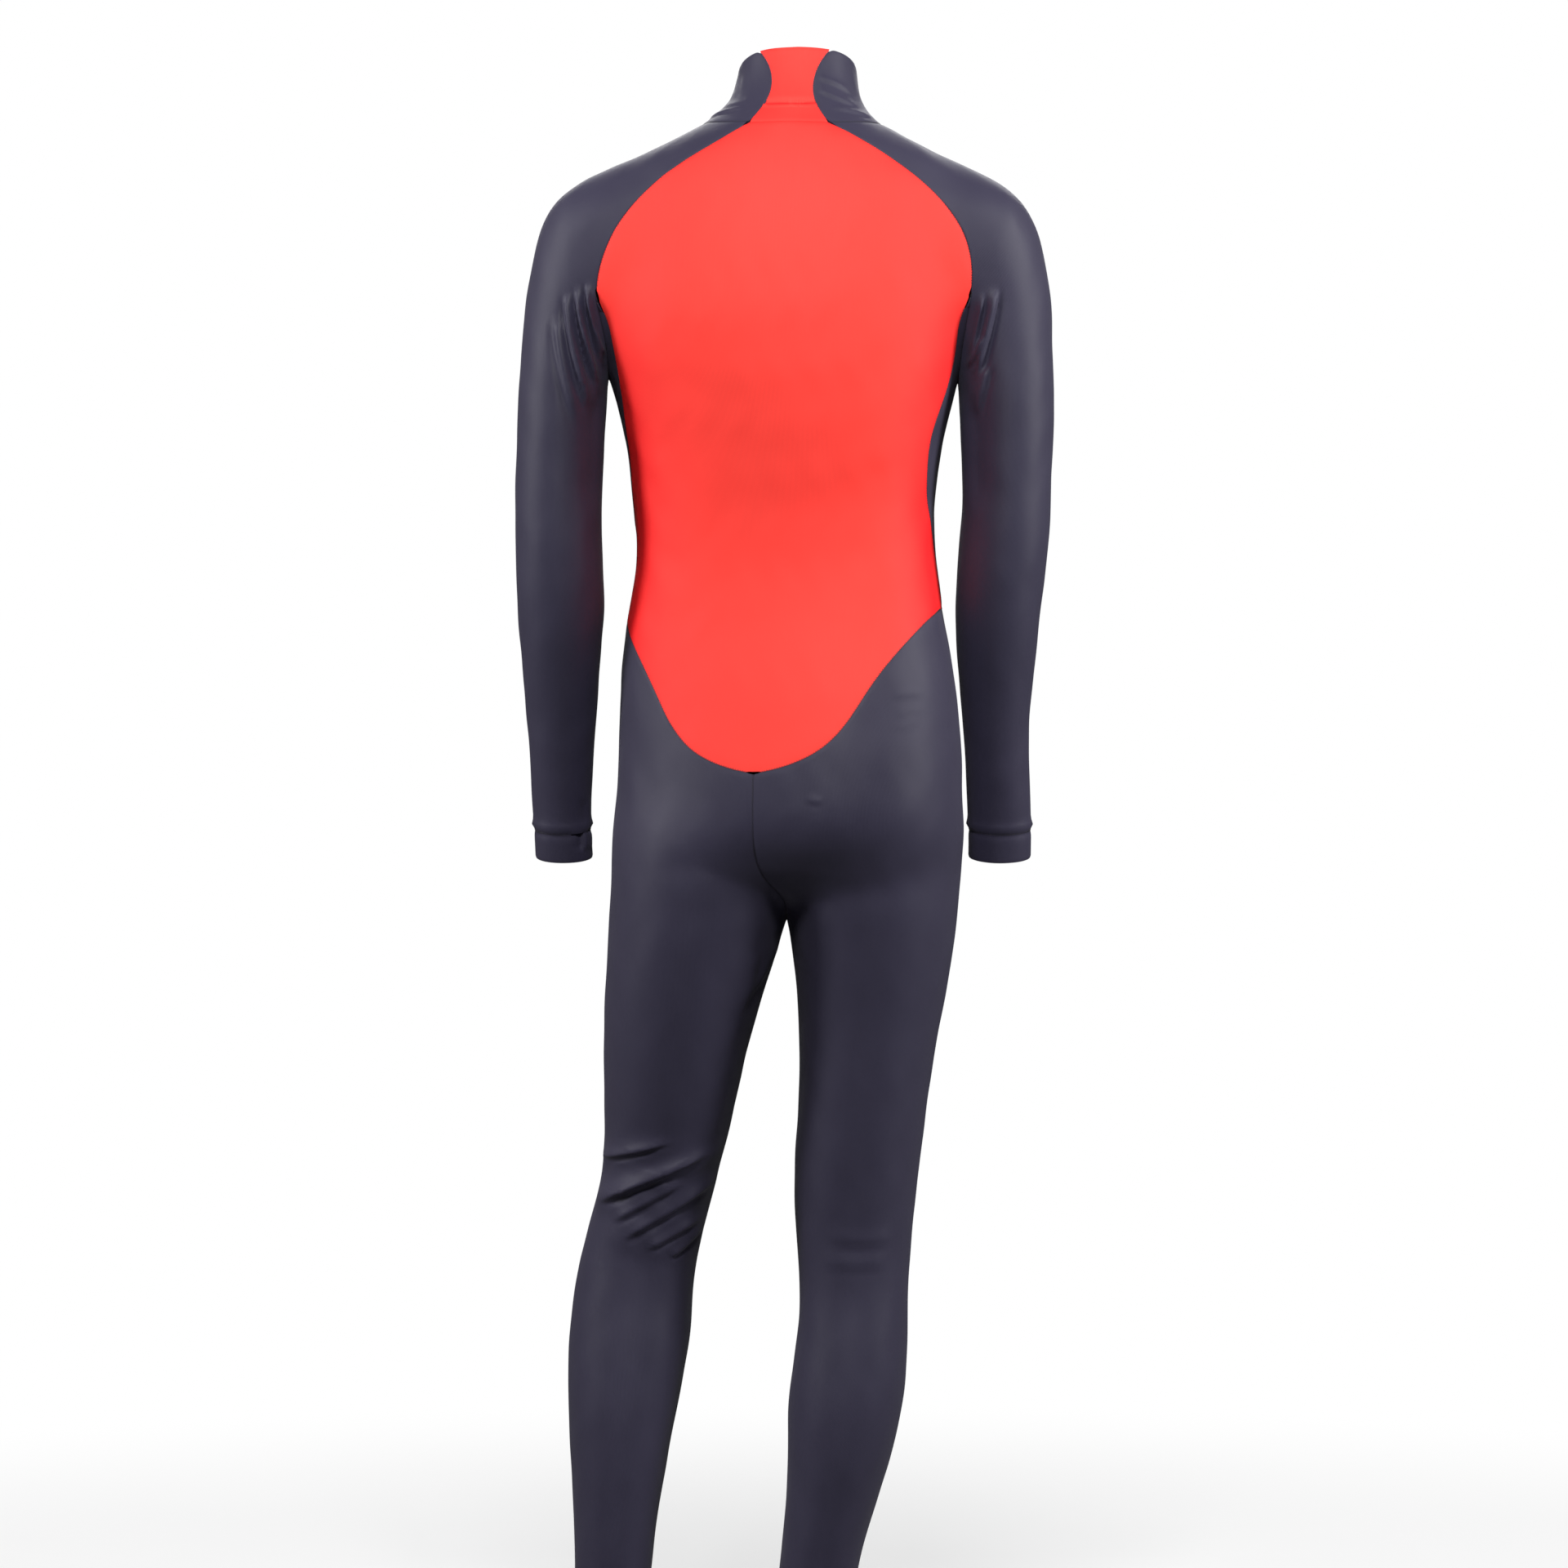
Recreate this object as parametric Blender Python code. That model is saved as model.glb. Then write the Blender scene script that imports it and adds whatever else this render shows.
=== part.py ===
"""Speed skating suit: a close one-piece of stretch jersey, hollow, in the shape it has when worn standing.

Metres, +Z up, +Y towards the wearer's back, +X towards the wearer's left. The origin is in the
middle of the neck, at the height of the collar seam, where the shoulders carry the suit.
Every panel is a thin wall of cloth that lies on one smooth body form between its seam lines.
"""

import bmesh
import bpy
import numpy as np
from mathutils import Matrix, Vector

# Cloth and seams
CLOTH = 0.0014
SEAM_GAP = 0.0003

# The body form. Heights are measured from the collar seam.
# height, middle x, middle y, half width, front depth, back depth, turn of the section in degrees
TRUNK = (
    (0.090, -0.0105, -0.027, 0.0560, 0.060, 0.060, 0),
    (0.040, -0.0103, -0.017, 0.0564, 0.064, 0.064, 0),
    (0.024, -0.0090, -0.012, 0.0600, 0.066, 0.066, 0),
    (0.010, -0.0065, -0.007, 0.0680, 0.068, 0.068, 0),
    (0.000, -0.0055, -0.004, 0.0790, 0.071, 0.071, 0),
    (-0.010, -0.0048, -0.001, 0.0925, 0.075, 0.075, 0),
    (-0.023, -0.0045, 0.002, 0.1210, 0.081, 0.079, 0),
    (-0.038, -0.0035, 0.003, 0.1465, 0.088, 0.083, 0),
    (-0.055, -0.0028, 0.004, 0.1620, 0.095, 0.089, 0),
    (-0.080, -0.0023, 0.004, 0.1710, 0.103, 0.096, 0),
    (-0.120, -0.0015, 0.003, 0.1730, 0.112, 0.105, 0),
    (-0.180, 0.0035, 0.002, 0.1735, 0.121, 0.112, 1),
    (-0.215, 0.0040, 0.001, 0.1690, 0.123, 0.112, 2.5),
    (-0.250, 0.0022, 0.000, 0.1595, 0.122, 0.110, 5),
    (-0.310, 0.0020, 0.000, 0.1458, 0.114, 0.101, 9),
    (-0.357, 0.0030, 0.000, 0.1405, 0.107, 0.093, 10),
    (-0.418, 0.0012, 0.002, 0.1420, 0.101, 0.088, 12),
    (-0.464, 0.0025, 0.003, 0.1500, 0.100, 0.090, 14),
    (-0.509, 0.0008, 0.004, 0.1580, 0.100, 0.098, 16),
    (-0.570, -0.0026, 0.004, 0.1622, 0.098, 0.110, 17),
    (-0.608, -0.0036, 0.004, 0.1630, 0.096, 0.116, 17),
    (-0.646, -0.0036, 0.004, 0.1632, 0.093, 0.118, 17),
    (-0.690, -0.0025, 0.004, 0.1625, 0.090, 0.114, 17),
    (-0.760, 0.0000, 0.003, 0.1625, 0.085, 0.105, 17),
)
# height, middle x, middle y, half width, front depth, back depth
LEFT_ARM = (
    (-0.040, 0.1630, 0.000, 0.0580, 0.060, 0.060),
    (-0.120, 0.1770, 0.002, 0.0580, 0.062, 0.062),
    (-0.160, 0.1870, 0.004, 0.0555, 0.058, 0.058),
    (-0.200, 0.1985, 0.006, 0.0475, 0.053, 0.053),
    (-0.251, 0.2079, 0.008, 0.0414, 0.050, 0.050),
    (-0.290, 0.2090, 0.008, 0.0418, 0.048, 0.048),
    (-0.342, 0.2118, 0.006, 0.0410, 0.046, 0.046),
    (-0.388, 0.2117, 0.003, 0.0408, 0.044, 0.046),
    (-0.448, 0.2101, -0.006, 0.0418, 0.044, 0.045),
    (-0.509, 0.2108, -0.020, 0.0367, 0.041, 0.040),
    (-0.570, 0.2109, -0.036, 0.0322, 0.035, 0.034),
    (-0.631, 0.2119, -0.052, 0.0283, 0.029, 0.029),
    (-0.720, 0.2085, -0.074, 0.0281, 0.028, 0.028),
)
RIGHT_ARM = (
    (-0.040, -0.1660, 0.000, 0.0580, 0.060, 0.060),
    (-0.120, -0.1815, 0.002, 0.0580, 0.062, 0.062),
    (-0.160, -0.1905, 0.004, 0.0565, 0.058, 0.058),
    (-0.200, -0.1995, 0.006, 0.0483, 0.053, 0.053),
    (-0.251, -0.2043, 0.008, 0.0449, 0.050, 0.050),
    (-0.290, -0.2050, 0.008, 0.0443, 0.048, 0.048),
    (-0.342, -0.2048, 0.006, 0.0414, 0.046, 0.046),
    (-0.388, -0.2029, 0.003, 0.0426, 0.044, 0.046),
    (-0.448, -0.1970, -0.006, 0.0410, 0.044, 0.045),
    (-0.509, -0.1962, -0.020, 0.0364, 0.041, 0.040),
    (-0.570, -0.1966, -0.036, 0.0308, 0.035, 0.034),
    (-0.631, -0.2005, -0.052, 0.0308, 0.030, 0.030),
    (-0.720, -0.2015, -0.074, 0.0300, 0.028, 0.028),
)
LEFT_LEG = (
    (-0.620, 0.0800, 0.000, 0.0760, 0.080, 0.095),
    (-0.690, 0.0815, 0.000, 0.0815, 0.086, 0.100),
    (-0.752, 0.0851, 0.000, 0.0806, 0.085, 0.094),
    (-0.798, 0.0927, -0.003, 0.0760, 0.083, 0.088),
    (-0.859, 0.1034, -0.010, 0.0676, 0.079, 0.081),
    (-0.920, 0.1094, -0.019, 0.0608, 0.073, 0.073),
    (-0.980, 0.1186, -0.029, 0.0547, 0.065, 0.064),
    (-1.041, 0.1338, -0.035, 0.0547, 0.061, 0.057),
    (-1.072, 0.1410, -0.036, 0.0551, 0.060, 0.056),
    (-1.132, 0.1467, -0.032, 0.0578, 0.055, 0.060),
    (-1.193, 0.1528, -0.025, 0.0517, 0.048, 0.062),
    (-1.254, 0.1569, -0.018, 0.0445, 0.042, 0.055),
    (-1.300, 0.1596, -0.012, 0.0388, 0.038, 0.048),
    (-1.360, 0.1620, -0.007, 0.0352, 0.036, 0.042),
    (-1.420, 0.1640, -0.003, 0.0335, 0.036, 0.038),
    (-1.500, 0.1660, 0.000, 0.0345, 0.037, 0.038),
)
RIGHT_LEG = (
    (-0.620, -0.0800, 0.000, 0.0760, 0.080, 0.095),
    (-0.690, -0.0815, 0.000, 0.0815, 0.086, 0.100),
    (-0.752, -0.0809, 0.000, 0.0766, 0.085, 0.094),
    (-0.798, -0.0798, -0.002, 0.0714, 0.083, 0.086),
    (-0.859, -0.0756, -0.004, 0.0635, 0.079, 0.078),
    (-0.920, -0.0703, -0.006, 0.0597, 0.074, 0.071),
    (-0.980, -0.0646, -0.007, 0.0585, 0.067, 0.064),
    (-1.041, -0.0627, -0.006, 0.0536, 0.060, 0.056),
    (-1.072, -0.0631, -0.005, 0.0509, 0.057, 0.054),
    (-1.102, -0.0627, -0.004, 0.0498, 0.055, 0.055),
    (-1.132, -0.0616, -0.002, 0.0517, 0.052, 0.059),
    (-1.163, -0.0581, 0.000, 0.0543, 0.050, 0.062),
    (-1.193, -0.0543, 0.002, 0.0543, 0.047, 0.063),
    (-1.254, -0.0475, 0.004, 0.0460, 0.042, 0.057),
    (-1.300, -0.0376, 0.006, 0.0399, 0.040, 0.049),
    (-1.360, -0.0270, 0.007, 0.0355, 0.037, 0.042),
    (-1.420, -0.0190, 0.008, 0.0338, 0.037, 0.038),
    (-1.500, -0.0120, 0.008, 0.0345, 0.037, 0.038),
)
TRUNK_ROUNDNESS = 2.3
LIMB_ROUNDNESS = 2.05
# Where the trunk or a limb ends in a dome: height where it starts to close, height where it is closed
SHOULDER_DOME = (-0.102, -0.047)
SEAT_DOME = (-0.650, -0.728)
THIGH_DOME = (-0.690, -0.600)
# How softly the forms run into each other
SHOULDER_BLEND = 0.045
ARMPIT_BLEND = 0.003
BLEND_FADE = (-0.150, -0.225)
CROTCH_BLEND = 0.010
HIP_BLEND = 0.030

# Seam lines on one side, in the trunk's own section: out from the middle, rearwards, height
BACK_RAGLAN = (
    (0.0369, 0.066, -0.010),
    (0.0772, 0.074, -0.034),
    (0.1018, 0.074, -0.049),
    (0.1216, 0.074, -0.064),
    (0.1364, 0.072, -0.078),
    (0.1493, 0.069, -0.092),
    (0.1592, 0.066, -0.106),
    (0.1660, 0.062, -0.120),
    (0.1699, 0.058, -0.135),
    (0.1721, 0.054, -0.150),
    (0.1733, 0.050, -0.165),
)
UNDERARM_RAGLAN = (
    (0.1733, 0.050, -0.165),
)
FRONT_RAGLAN = (
    (0.0480, -0.062, -0.022),
    (0.0780, -0.080, -0.050),
    (0.1080, -0.086, -0.085),
    (0.1330, -0.082, -0.122),
    (0.1500, -0.070, -0.160),
)
BACK_SIDE = (
    (0.1429, 0.040, -0.284),
    (0.1383, 0.034, -0.312),
    (0.1368, 0.028, -0.342),
    (0.1390, 0.010, -0.372),
    (0.1400, -0.010, -0.400),
    (0.1440, -0.020, -0.430),
    (0.1480, -0.024, -0.452),
)
# The top of the back's side seam on the left (1) and the right (-1), in the suit's own frame
BACK_SIDE_TOP = {
    1: (
        (0.1765, 0.065, -0.165),
        (0.1640, 0.057, -0.190),
        (0.1590, 0.050, -0.220),
        (0.1553, 0.038, -0.251),
    ),
    -1: (
        (-0.1702, 0.064, -0.165),
        (-0.1595, 0.057, -0.190),
        (-0.1550, 0.046, -0.220),
        (-0.1480, 0.045, -0.251),
    ),
}
BACK_WAIST = (
    (0.0000, 0.120, -0.6065),
    (0.0295, 0.119, -0.6000),
    (0.0621, 0.111, -0.5860),
    (0.0783, 0.103, -0.5710),
    (0.0881, 0.096, -0.5560),
    (0.0964, 0.091, -0.5410),
    (0.1034, 0.083, -0.5260),
    (0.1136, 0.073, -0.5100),
    (0.1240, 0.064, -0.4950),
    (0.1349, 0.047, -0.4790),
    (0.1440, 0.030, -0.4640),
    (0.1480, 0.000, -0.4550),
    (0.1480, -0.024, -0.4520),
)
FRONT_WAIST = (
    (0.1480, -0.024, -0.4520),
    (0.1340, -0.050, -0.4560),
    (0.1020, -0.080, -0.4680),
    (0.0560, -0.098, -0.4830),
    (0.0040, -0.101, -0.4900),
)
BACK_RISE = (
    (0.0, 0.120, -0.6065),
    (0.0, 0.115, -0.6500),
    (0.0, 0.098, -0.6950),
)
FRONT_RISE = (
    (0.0, -0.101, -0.4900),
    (0.0, -0.100, -0.5400),
    (0.0, -0.094, -0.6100),
    (0.0, -0.086, -0.6700),
)
# How far from the lowest point the seams follow the line where two limbs part
UNDERARM_RUN = (0.042, 0.030, 0.015)
CROTCH_RUN = (0.055, 0.040, 0.020)
# Points in the open, just below each underarm and below the crotch
UNDER_ARM = {1: (0.1635, 0.006, -0.270), -1: (-0.1570, 0.006, -0.267)}
UNDER_CROTCH = (0.005, 0.0, -0.775)
# Half of the zip's width between the two fronts
ZIP_HALF = 0.0040

# The zip's slider: height of its middle, width, thickness and length of its plate
SLIDER_HEIGHT = 0.021
SLIDER = (0.0080, 0.0016, 0.0100)
# The arch that holds the pull tab: radius of its middle line, radius of its wire
ARCH = (0.00175, 0.00055)
# The pull tab: width, thickness, length below its axis, and how far its window reaches down
PULL = (0.0064, 0.0013, 0.0260, 0.0058)
PULL_BAR = 0.0012
# The tab's axis lies this far out from the tapes
PULL_AXIS = 0.0030

# The collar: degrees from the middle of the back, height of its seam, height of its top edge
COLLAR = (
    (0, -0.010, 0.0640),
    (29, -0.010, 0.0625),
    (60, -0.006, 0.0565),
    (90, -0.004, 0.0480),
    (120, -0.010, 0.0420),
    (150, -0.032, 0.0370),
    (180, -0.045, 0.0350),
)
# Degrees where the back and front raglan seams meet the collar, left (1) and right (-1)
RAGLAN_AT_NECK = {1: (29.0, 142.0), -1: (25.0, 142.0)}
# The red back of the collar: share of its height, degrees from the middle of the back to its left and right edge
COLLAR_RED = (
    (0.0, 29, 25),
    (0.12, 26, 21.5),
    (0.30, 21, 15),
    (0.55, 20, 13),
    (0.80, 25, 18),
    (1.0, 35, 28),
)

# Ends of the limbs
ARM_FORM_END = -0.710
SLEEVE_END = -0.657
CUFF_END = -0.684
LEG_END = -1.480

# Folds behind the bent left knee, seen from behind: x and z of both ends, half width, height
KNEE_FOLDS = (
    (0.1690, -0.9610, 0.1060, -0.9450, 0.0080, 0.0020),
    (0.1720, -1.0030, 0.0720, -0.9580, 0.0085, 0.0042),
    (0.1560, -1.0220, 0.0960, -0.9840, 0.0075, 0.0020),
    (0.1500, -1.0380, 0.0690, -0.9860, 0.0080, 0.0028),
    (0.1280, -1.0480, 0.0810, -1.0200, 0.0080, 0.0024),
)
# Heights between which the rings round that leg stand close, and how many steps they take
KNEE_ROWS = (-1.064, -0.932, 20)
ROW_SPACE = 0.012

# How far the ring round a limb lies below the point where the limb parts from the body
CAP_DROP = 0.004

# How finely each seam is divided
CUTS = {
    "collar back": 9,
    "back raglan": 7,
    "underarm": 4,
    "front collar": 2,
    "back side": 11,
    "sleeve neck": 16,
    "sleeve": 12,
    "rise": 8,
    "collar height": 5,
    "cuff": 2,
    "leg": 17,
}


def smooth_table(rows):
    """A function of the first column that gives the others, on smooth curves through the rows."""
    table = np.array(rows, float)
    table = table[np.argsort(table[:, 0])]
    stations, values = table[:, 0], table[:, 1:]
    slopes = np.gradient(values, stations, axis=0)

    def at(station):
        station = np.clip(station, stations[0], stations[-1])
        i = np.clip(np.searchsorted(stations, station) - 1, 0, len(stations) - 2)
        span = (stations[i + 1] - stations[i])[..., None]
        t = (station - stations[i])[..., None] / span
        turn = t * t * (3 - 2 * t)
        start = values[i] * (1 - turn) + slopes[i] * span * t * (1 - t) ** 2
        end = values[i + 1] * turn - slopes[i + 1] * span * t * t * (1 - t)
        return np.moveaxis(start + end, -1, 0)

    return at


TRUNK_AT = smooth_table(TRUNK)
LIMB_AT = {
    "left arm": smooth_table(LEFT_ARM),
    "right arm": smooth_table(RIGHT_ARM),
    "left leg": smooth_table(LEFT_LEG),
    "right leg": smooth_table(RIGHT_LEG),
}
COLLAR_AT = smooth_table(COLLAR)
COLLAR_RED_AT = smooth_table(COLLAR_RED)


def ease(value, start, end):
    """0 before start, 1 after end, and smooth between them."""
    t = np.clip((value - start) / (end - start), 0, 1)
    return t * t * (3 - 2 * t)


def soft_union(first, second, blend):
    """The nearer of two distances, rounded where they are alike."""
    overlap = np.maximum(blend - np.abs(first - second), 0) / blend
    return np.minimum(first, second) - overlap * overlap * blend / 4


def section_distance(points, section, turn, roundness, dome):
    """Distance out from a form given by its level sections, measured from each section's middle."""
    middle_x, middle_y, half_width, front, back = section
    x, y, z = np.moveaxis(points, -1, 0)
    turn = np.radians(turn)
    across = (x - middle_x) * np.cos(turn) - (y - middle_y) * np.sin(turn)
    rear = (x - middle_x) * np.sin(turn) + (y - middle_y) * np.cos(turn)
    starts, closed = dome
    share = np.clip((z - starts) / (closed - starts), 0, 1)
    size = np.sqrt(np.maximum(1 - share * share, 1e-4))
    beyond = np.maximum((z - closed) * np.sign(closed - starts), 0)
    depth = np.where(rear > 0, back, front) * size
    reach = np.hypot(across, rear) + 1e-9
    ratio = (
        (np.abs(across) / (half_width * size)) ** roundness
        + (np.abs(rear) / depth) ** roundness
    ) ** (1 / roundness) + 1e-9
    out = reach - reach / ratio
    return np.where(beyond > 0, np.hypot(np.maximum(out, 0), beyond), out)


def form_distance(points):
    """Distance out from the whole body form: below zero inside, above zero outside."""
    z = points[..., 2]
    limb = {
        name: section_distance(
            points, at(z), 0.0, LIMB_ROUNDNESS, SHOULDER_DOME if "arm" in name else THIGH_DOME
        )
        for name, at in LIMB_AT.items()
    }
    *section, turn = TRUNK_AT(z)
    trunk = section_distance(points, section, turn, TRUNK_ROUNDNESS, SEAT_DOME)
    legs = soft_union(limb["left leg"], limb["right leg"], CROTCH_BLEND)
    form = soft_union(trunk, legs, HIP_BLEND)
    blend = SHOULDER_BLEND + (ARMPIT_BLEND - SHOULDER_BLEND) * ease(z, *BLEND_FADE)
    for name in ("left arm", "right arm"):
        arm = np.where(z < ARM_FORM_END, 1.0, limb[name])
        form = soft_union(form, arm, blend)
    return form


def slope_at(points):
    """How the distance from the form changes along each axis."""
    step = 0.0004
    sides = [form_distance(points + axis) - form_distance(points - axis) for axis in np.eye(3) * step]
    return np.stack(sides, -1) / (2 * step)


def normals_at(points):
    """Unit directions straight out of the form."""
    slope = slope_at(points)
    return slope / np.linalg.norm(slope, axis=-1, keepdims=True)


def onto_form(points):
    """The points moved straight in or out until they lie on the form."""
    points = np.array(points, float)
    for _ in range(30):
        slope = slope_at(points)
        steepness = np.maximum((slope * slope).sum(-1), 0.25)
        move = np.clip(form_distance(points) / steepness, -0.02, 0.02)
        points = points - 0.8 * move[..., None] * slope
    return points


def along_ray(origins, headings, leaving, reach=0.30, steps=150):
    """Where straight lines first leave the form, or first meet it."""
    headings = headings / np.linalg.norm(headings, axis=-1, keepdims=True)
    origins = np.broadcast_to(origins, headings.shape)
    side = 1 if leaving else -1
    before = np.zeros(headings.shape[:-1])
    after = np.full(headings.shape[:-1], float(reach))
    found = np.zeros(headings.shape[:-1], bool)
    for distance in np.linspace(0, reach, steps + 1)[1:]:
        crossed = side * form_distance(origins + headings * distance) > 0
        after[crossed & ~found] = distance
        found |= crossed
        before[~found] = distance
    for _ in range(20):
        middle = (before + after) / 2
        crossed = side * form_distance(origins + headings * middle[..., None]) > 0
        after = np.where(crossed, middle, after)
        before = np.where(crossed, before, middle)
    return origins + headings * after[..., None]


def in_trunk(rows, side=1):
    """Points given out, rearwards and up in the trunk's turned sections, in the suit's own frame."""
    out, rear, z = np.moveaxis(np.array(rows, float), -1, 0)
    middle_x, middle_y, *_, turn = TRUNK_AT(z)
    turn = np.radians(turn)
    x = middle_x + side * out * np.cos(turn) + rear * np.sin(turn)
    y = middle_y - side * out * np.sin(turn) + rear * np.cos(turn)
    return np.stack([x, y, z], -1)


def evenly(points, cuts):
    """cuts + 1 points at even steps along a smooth curve through the given points."""
    points = np.array(points, float)
    along = np.r_[0, np.cumsum(np.linalg.norm(np.diff(points, axis=0), axis=1))]
    curve = smooth_table(np.column_stack([along, points]))
    fine = curve(np.linspace(0, along[-1], 40 * cuts)).T
    length = np.r_[0, np.cumsum(np.linalg.norm(np.diff(fine, axis=0), axis=1))]
    spots = np.linspace(0, length[-1], cuts + 1)
    return np.stack([np.interp(spots, length, fine[:, k]) for k in range(3)], -1)


def seam(rows, cuts, side, before=(), after=()):
    """A seam line's points on the form. It also runs through the points given before and after its rows."""
    points = onto_form(in_trunk(rows, side))
    points = np.vstack([*before, *points, *after])
    line = evenly(points, cuts)
    line[1:-1] = onto_form(line[1:-1])
    return line


def valley(open_point, depths):
    """Points of the line where two limbs part, one at each depth, found from a point in the open below."""
    x = np.full(len(depths), open_point[0])
    for reach in (0.012, 0.0006):
        tried = x[:, None] + np.linspace(-reach, reach, 41)
        origins = np.stack(np.broadcast_arrays(tried, np.array(depths)[:, None], open_point[2]), -1)
        met = along_ray(origins, np.broadcast_to((0.0, 0.0, 1.0), origins.shape), leaving=False)
        line = met[np.arange(len(depths)), met[..., 2].argmax(axis=1)]
        x = line[:, 0]
    return line


def saddle(open_point, reach):
    """The lowest point of the line where two limbs part."""
    line = valley(open_point, open_point[1] + np.linspace(-reach, reach, 13))
    return line[line[:, 2].argmin()]


def seam_from(rows, cuts, side, facing):
    """A seam line's points where they show from behind (facing 1) or from the front (facing -1)."""
    far = np.array(rows, float)
    far[:, 1] = 0.25 * facing
    origins = in_trunk(far, side)
    met = along_ray(origins, in_trunk(far * (1, 0, 1), side) - origins, leaving=False)
    return onto_form(evenly(met, cuts))


def neck_points(degrees, share, side):
    """Points of the collar: degrees from the middle of the back, share of the collar's height."""
    bottom, top = COLLAR_AT(degrees)
    z = bottom + (top - bottom) * share
    radians = np.radians(degrees)
    middle = in_trunk(np.stack([0 * z, 0 * z, z], -1))
    ray = in_trunk(np.stack([np.sin(radians), np.cos(radians), z], -1), side)
    return along_ray(middle, ray - middle, leaving=True)


def zip_line(heights, out, side):
    """Points down the middle of the front, a little to one side."""
    rows = [(out, 0, z) for z in heights]
    far = np.array([(out, -0.25, z) for z in heights])
    origins = in_trunk(far, side)
    return along_ray(origins, in_trunk(rows, side) - origins, leaving=False)


def grid_between(first, last, start, end):
    """Points that fill the space between four lines: rows run from first to last, columns from start to end."""
    v = np.linspace(0, 1, len(start))[:, None, None]
    u = np.linspace(0, 1, len(first))[None, :, None]
    along = (1 - v) * first[None] + v * last[None]
    across = (1 - u) * start[:, None] + u * end[:, None]
    corners = (
        (1 - u) * (1 - v) * first[0]
        + u * (1 - v) * first[-1]
        + (1 - u) * v * last[0]
        + u * v * last[-1]
    )
    grid = along + across - corners
    grid[0], grid[-1], grid[:, 0], grid[:, -1] = first, last, start, end
    return grid


def round_trunk(points, facing):
    """Where points lie round the trunk: angle from the middle of the back, near facing, and height."""
    middle_x, middle_y, *_, turn = TRUNK_AT(points[..., 2])
    angle = np.arctan2(points[..., 0] - middle_x, points[..., 1] - middle_y) - np.radians(turn)
    angle = facing + (angle - facing + np.pi) % (2 * np.pi) - np.pi
    return np.stack([angle, points[..., 2]], -1)


def laid_panel(first, last, start, end, facing):
    """A panel of the trunk that faces one way, laid onto the form between its four seam lines."""
    edges = [round_trunk(line, facing) for line in (first, last, start, end)]
    angle, z = np.moveaxis(grid_between(*edges), -1, 0)
    middle = in_trunk(np.stack([0 * z, 0 * z, z], -1))
    ray = in_trunk(np.stack([np.sin(angle), np.cos(angle), z], -1))
    laid = along_ray(middle, ray - middle, leaving=True)
    laid[0], laid[-1], laid[:, 0], laid[:, -1] = first, last, start, end
    return laid


def limb_ring(name, z, headings, tilt=0.0):
    """A ring round a limb, its points in the given level directions."""
    middle_x, middle_y, *_ = LIMB_AT[name](np.array(z))
    rays = headings.copy()
    rays[:, 2] = -headings[:, 1] * tilt
    ring = along_ray(np.array([middle_x, middle_y, z]), rays, leaving=True)
    ring[-1] = ring[0]
    return ring


def limb_headings(name, seam_point, shares):
    """Level directions round a limb from its inner seam, by the back, to the seam again."""
    middle_x, middle_y, *_ = LIMB_AT[name](seam_point[2])
    from_middle = seam_point[:2] - (middle_x, middle_y)
    start = np.arctan2(from_middle[1], from_middle[0])
    sense = -1 if "left" in name else 1
    angles = start + sense * 2 * np.pi * shares
    return np.stack([np.cos(angles), np.sin(angles), 0 * angles], -1)


def limb_tilt(name, z):
    """How far a ring leans so that it is square to the limb, seen from the side."""
    above, below = (LIMB_AT[name](np.array(z + d))[1] for d in (0.02, -0.02))
    return (above - below) / 0.04


def limb_cap(name, ring, top, start, end):
    """The part of a sleeve or leg above its closed tube, blown out onto the form."""
    grid = grid_between(ring, top, start, end)
    middle_x, middle_y, *_ = LIMB_AT[name](ring[0, 2])
    middle = np.array([middle_x, middle_y, ring[0, 2]])
    share = ease(np.linspace(0, 1, len(start)), 0, 0.5)[:, None]
    cores = (1 - share) * middle + share * (start + end) / 2
    rays = grid - cores[:, None]
    blown = along_ray(np.broadcast_to(cores[:, None], grid.shape), rays, leaving=True)
    grid[1:-1, 1:-1] = blown[1:-1, 1:-1]
    return grid


def limb_panel(name, heights, shares, top, start, end):
    """A whole sleeve or leg: closed rings from the hem up, then the open cap. Also how many rings there are."""
    headings = limb_headings(name, start[0], shares)
    first = limb_ring(name, start[0, 2] - CAP_DROP, headings)
    first[0] = first[-1] = start[0]
    reach = start[0, 2] - heights[0]
    rings = []
    for z in heights:
        lean = limb_tilt(name, z) * min(1.0, 2 * (start[0, 2] - z) / reach)
        rings.append(limb_ring(name, z, headings, lean))
    cap = limb_cap(name, first, top, start, end)
    return np.concatenate([np.array(rings), cap]), len(heights) + 1


def folded(grid):
    """A leg's points, raised where the cloth folds behind its bent knee."""
    normals = normals_at(grid)
    rise = np.zeros(grid.shape[:2])
    for x0, z0, x1, z1, half_width, height in KNEE_FOLDS:
        run = np.array((x1 - x0, z1 - z0))
        seen = grid[..., (0, 2)] - (x0, z0)
        along = np.clip(seen @ run / (run @ run), 0, 1)
        away = np.linalg.norm(seen - along[..., None] * run, axis=-1)
        rise += height * np.exp(-((away / half_width) ** 2))
    rise *= ease(normals[..., 1], 0.0, 0.5)
    return grid + normals * rise[..., None]


def two_triangles(points, corners):
    """Splits four corners along the shorter diagonal, so that both faces of a wall fold alike."""
    a, b, c, d = corners
    if np.linalg.norm(points[a] - points[c]) <= np.linalg.norm(points[b] - points[d]):
        return [(a, b, c), (a, c, d)]
    return [(a, b, d), (b, c, d)]


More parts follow.
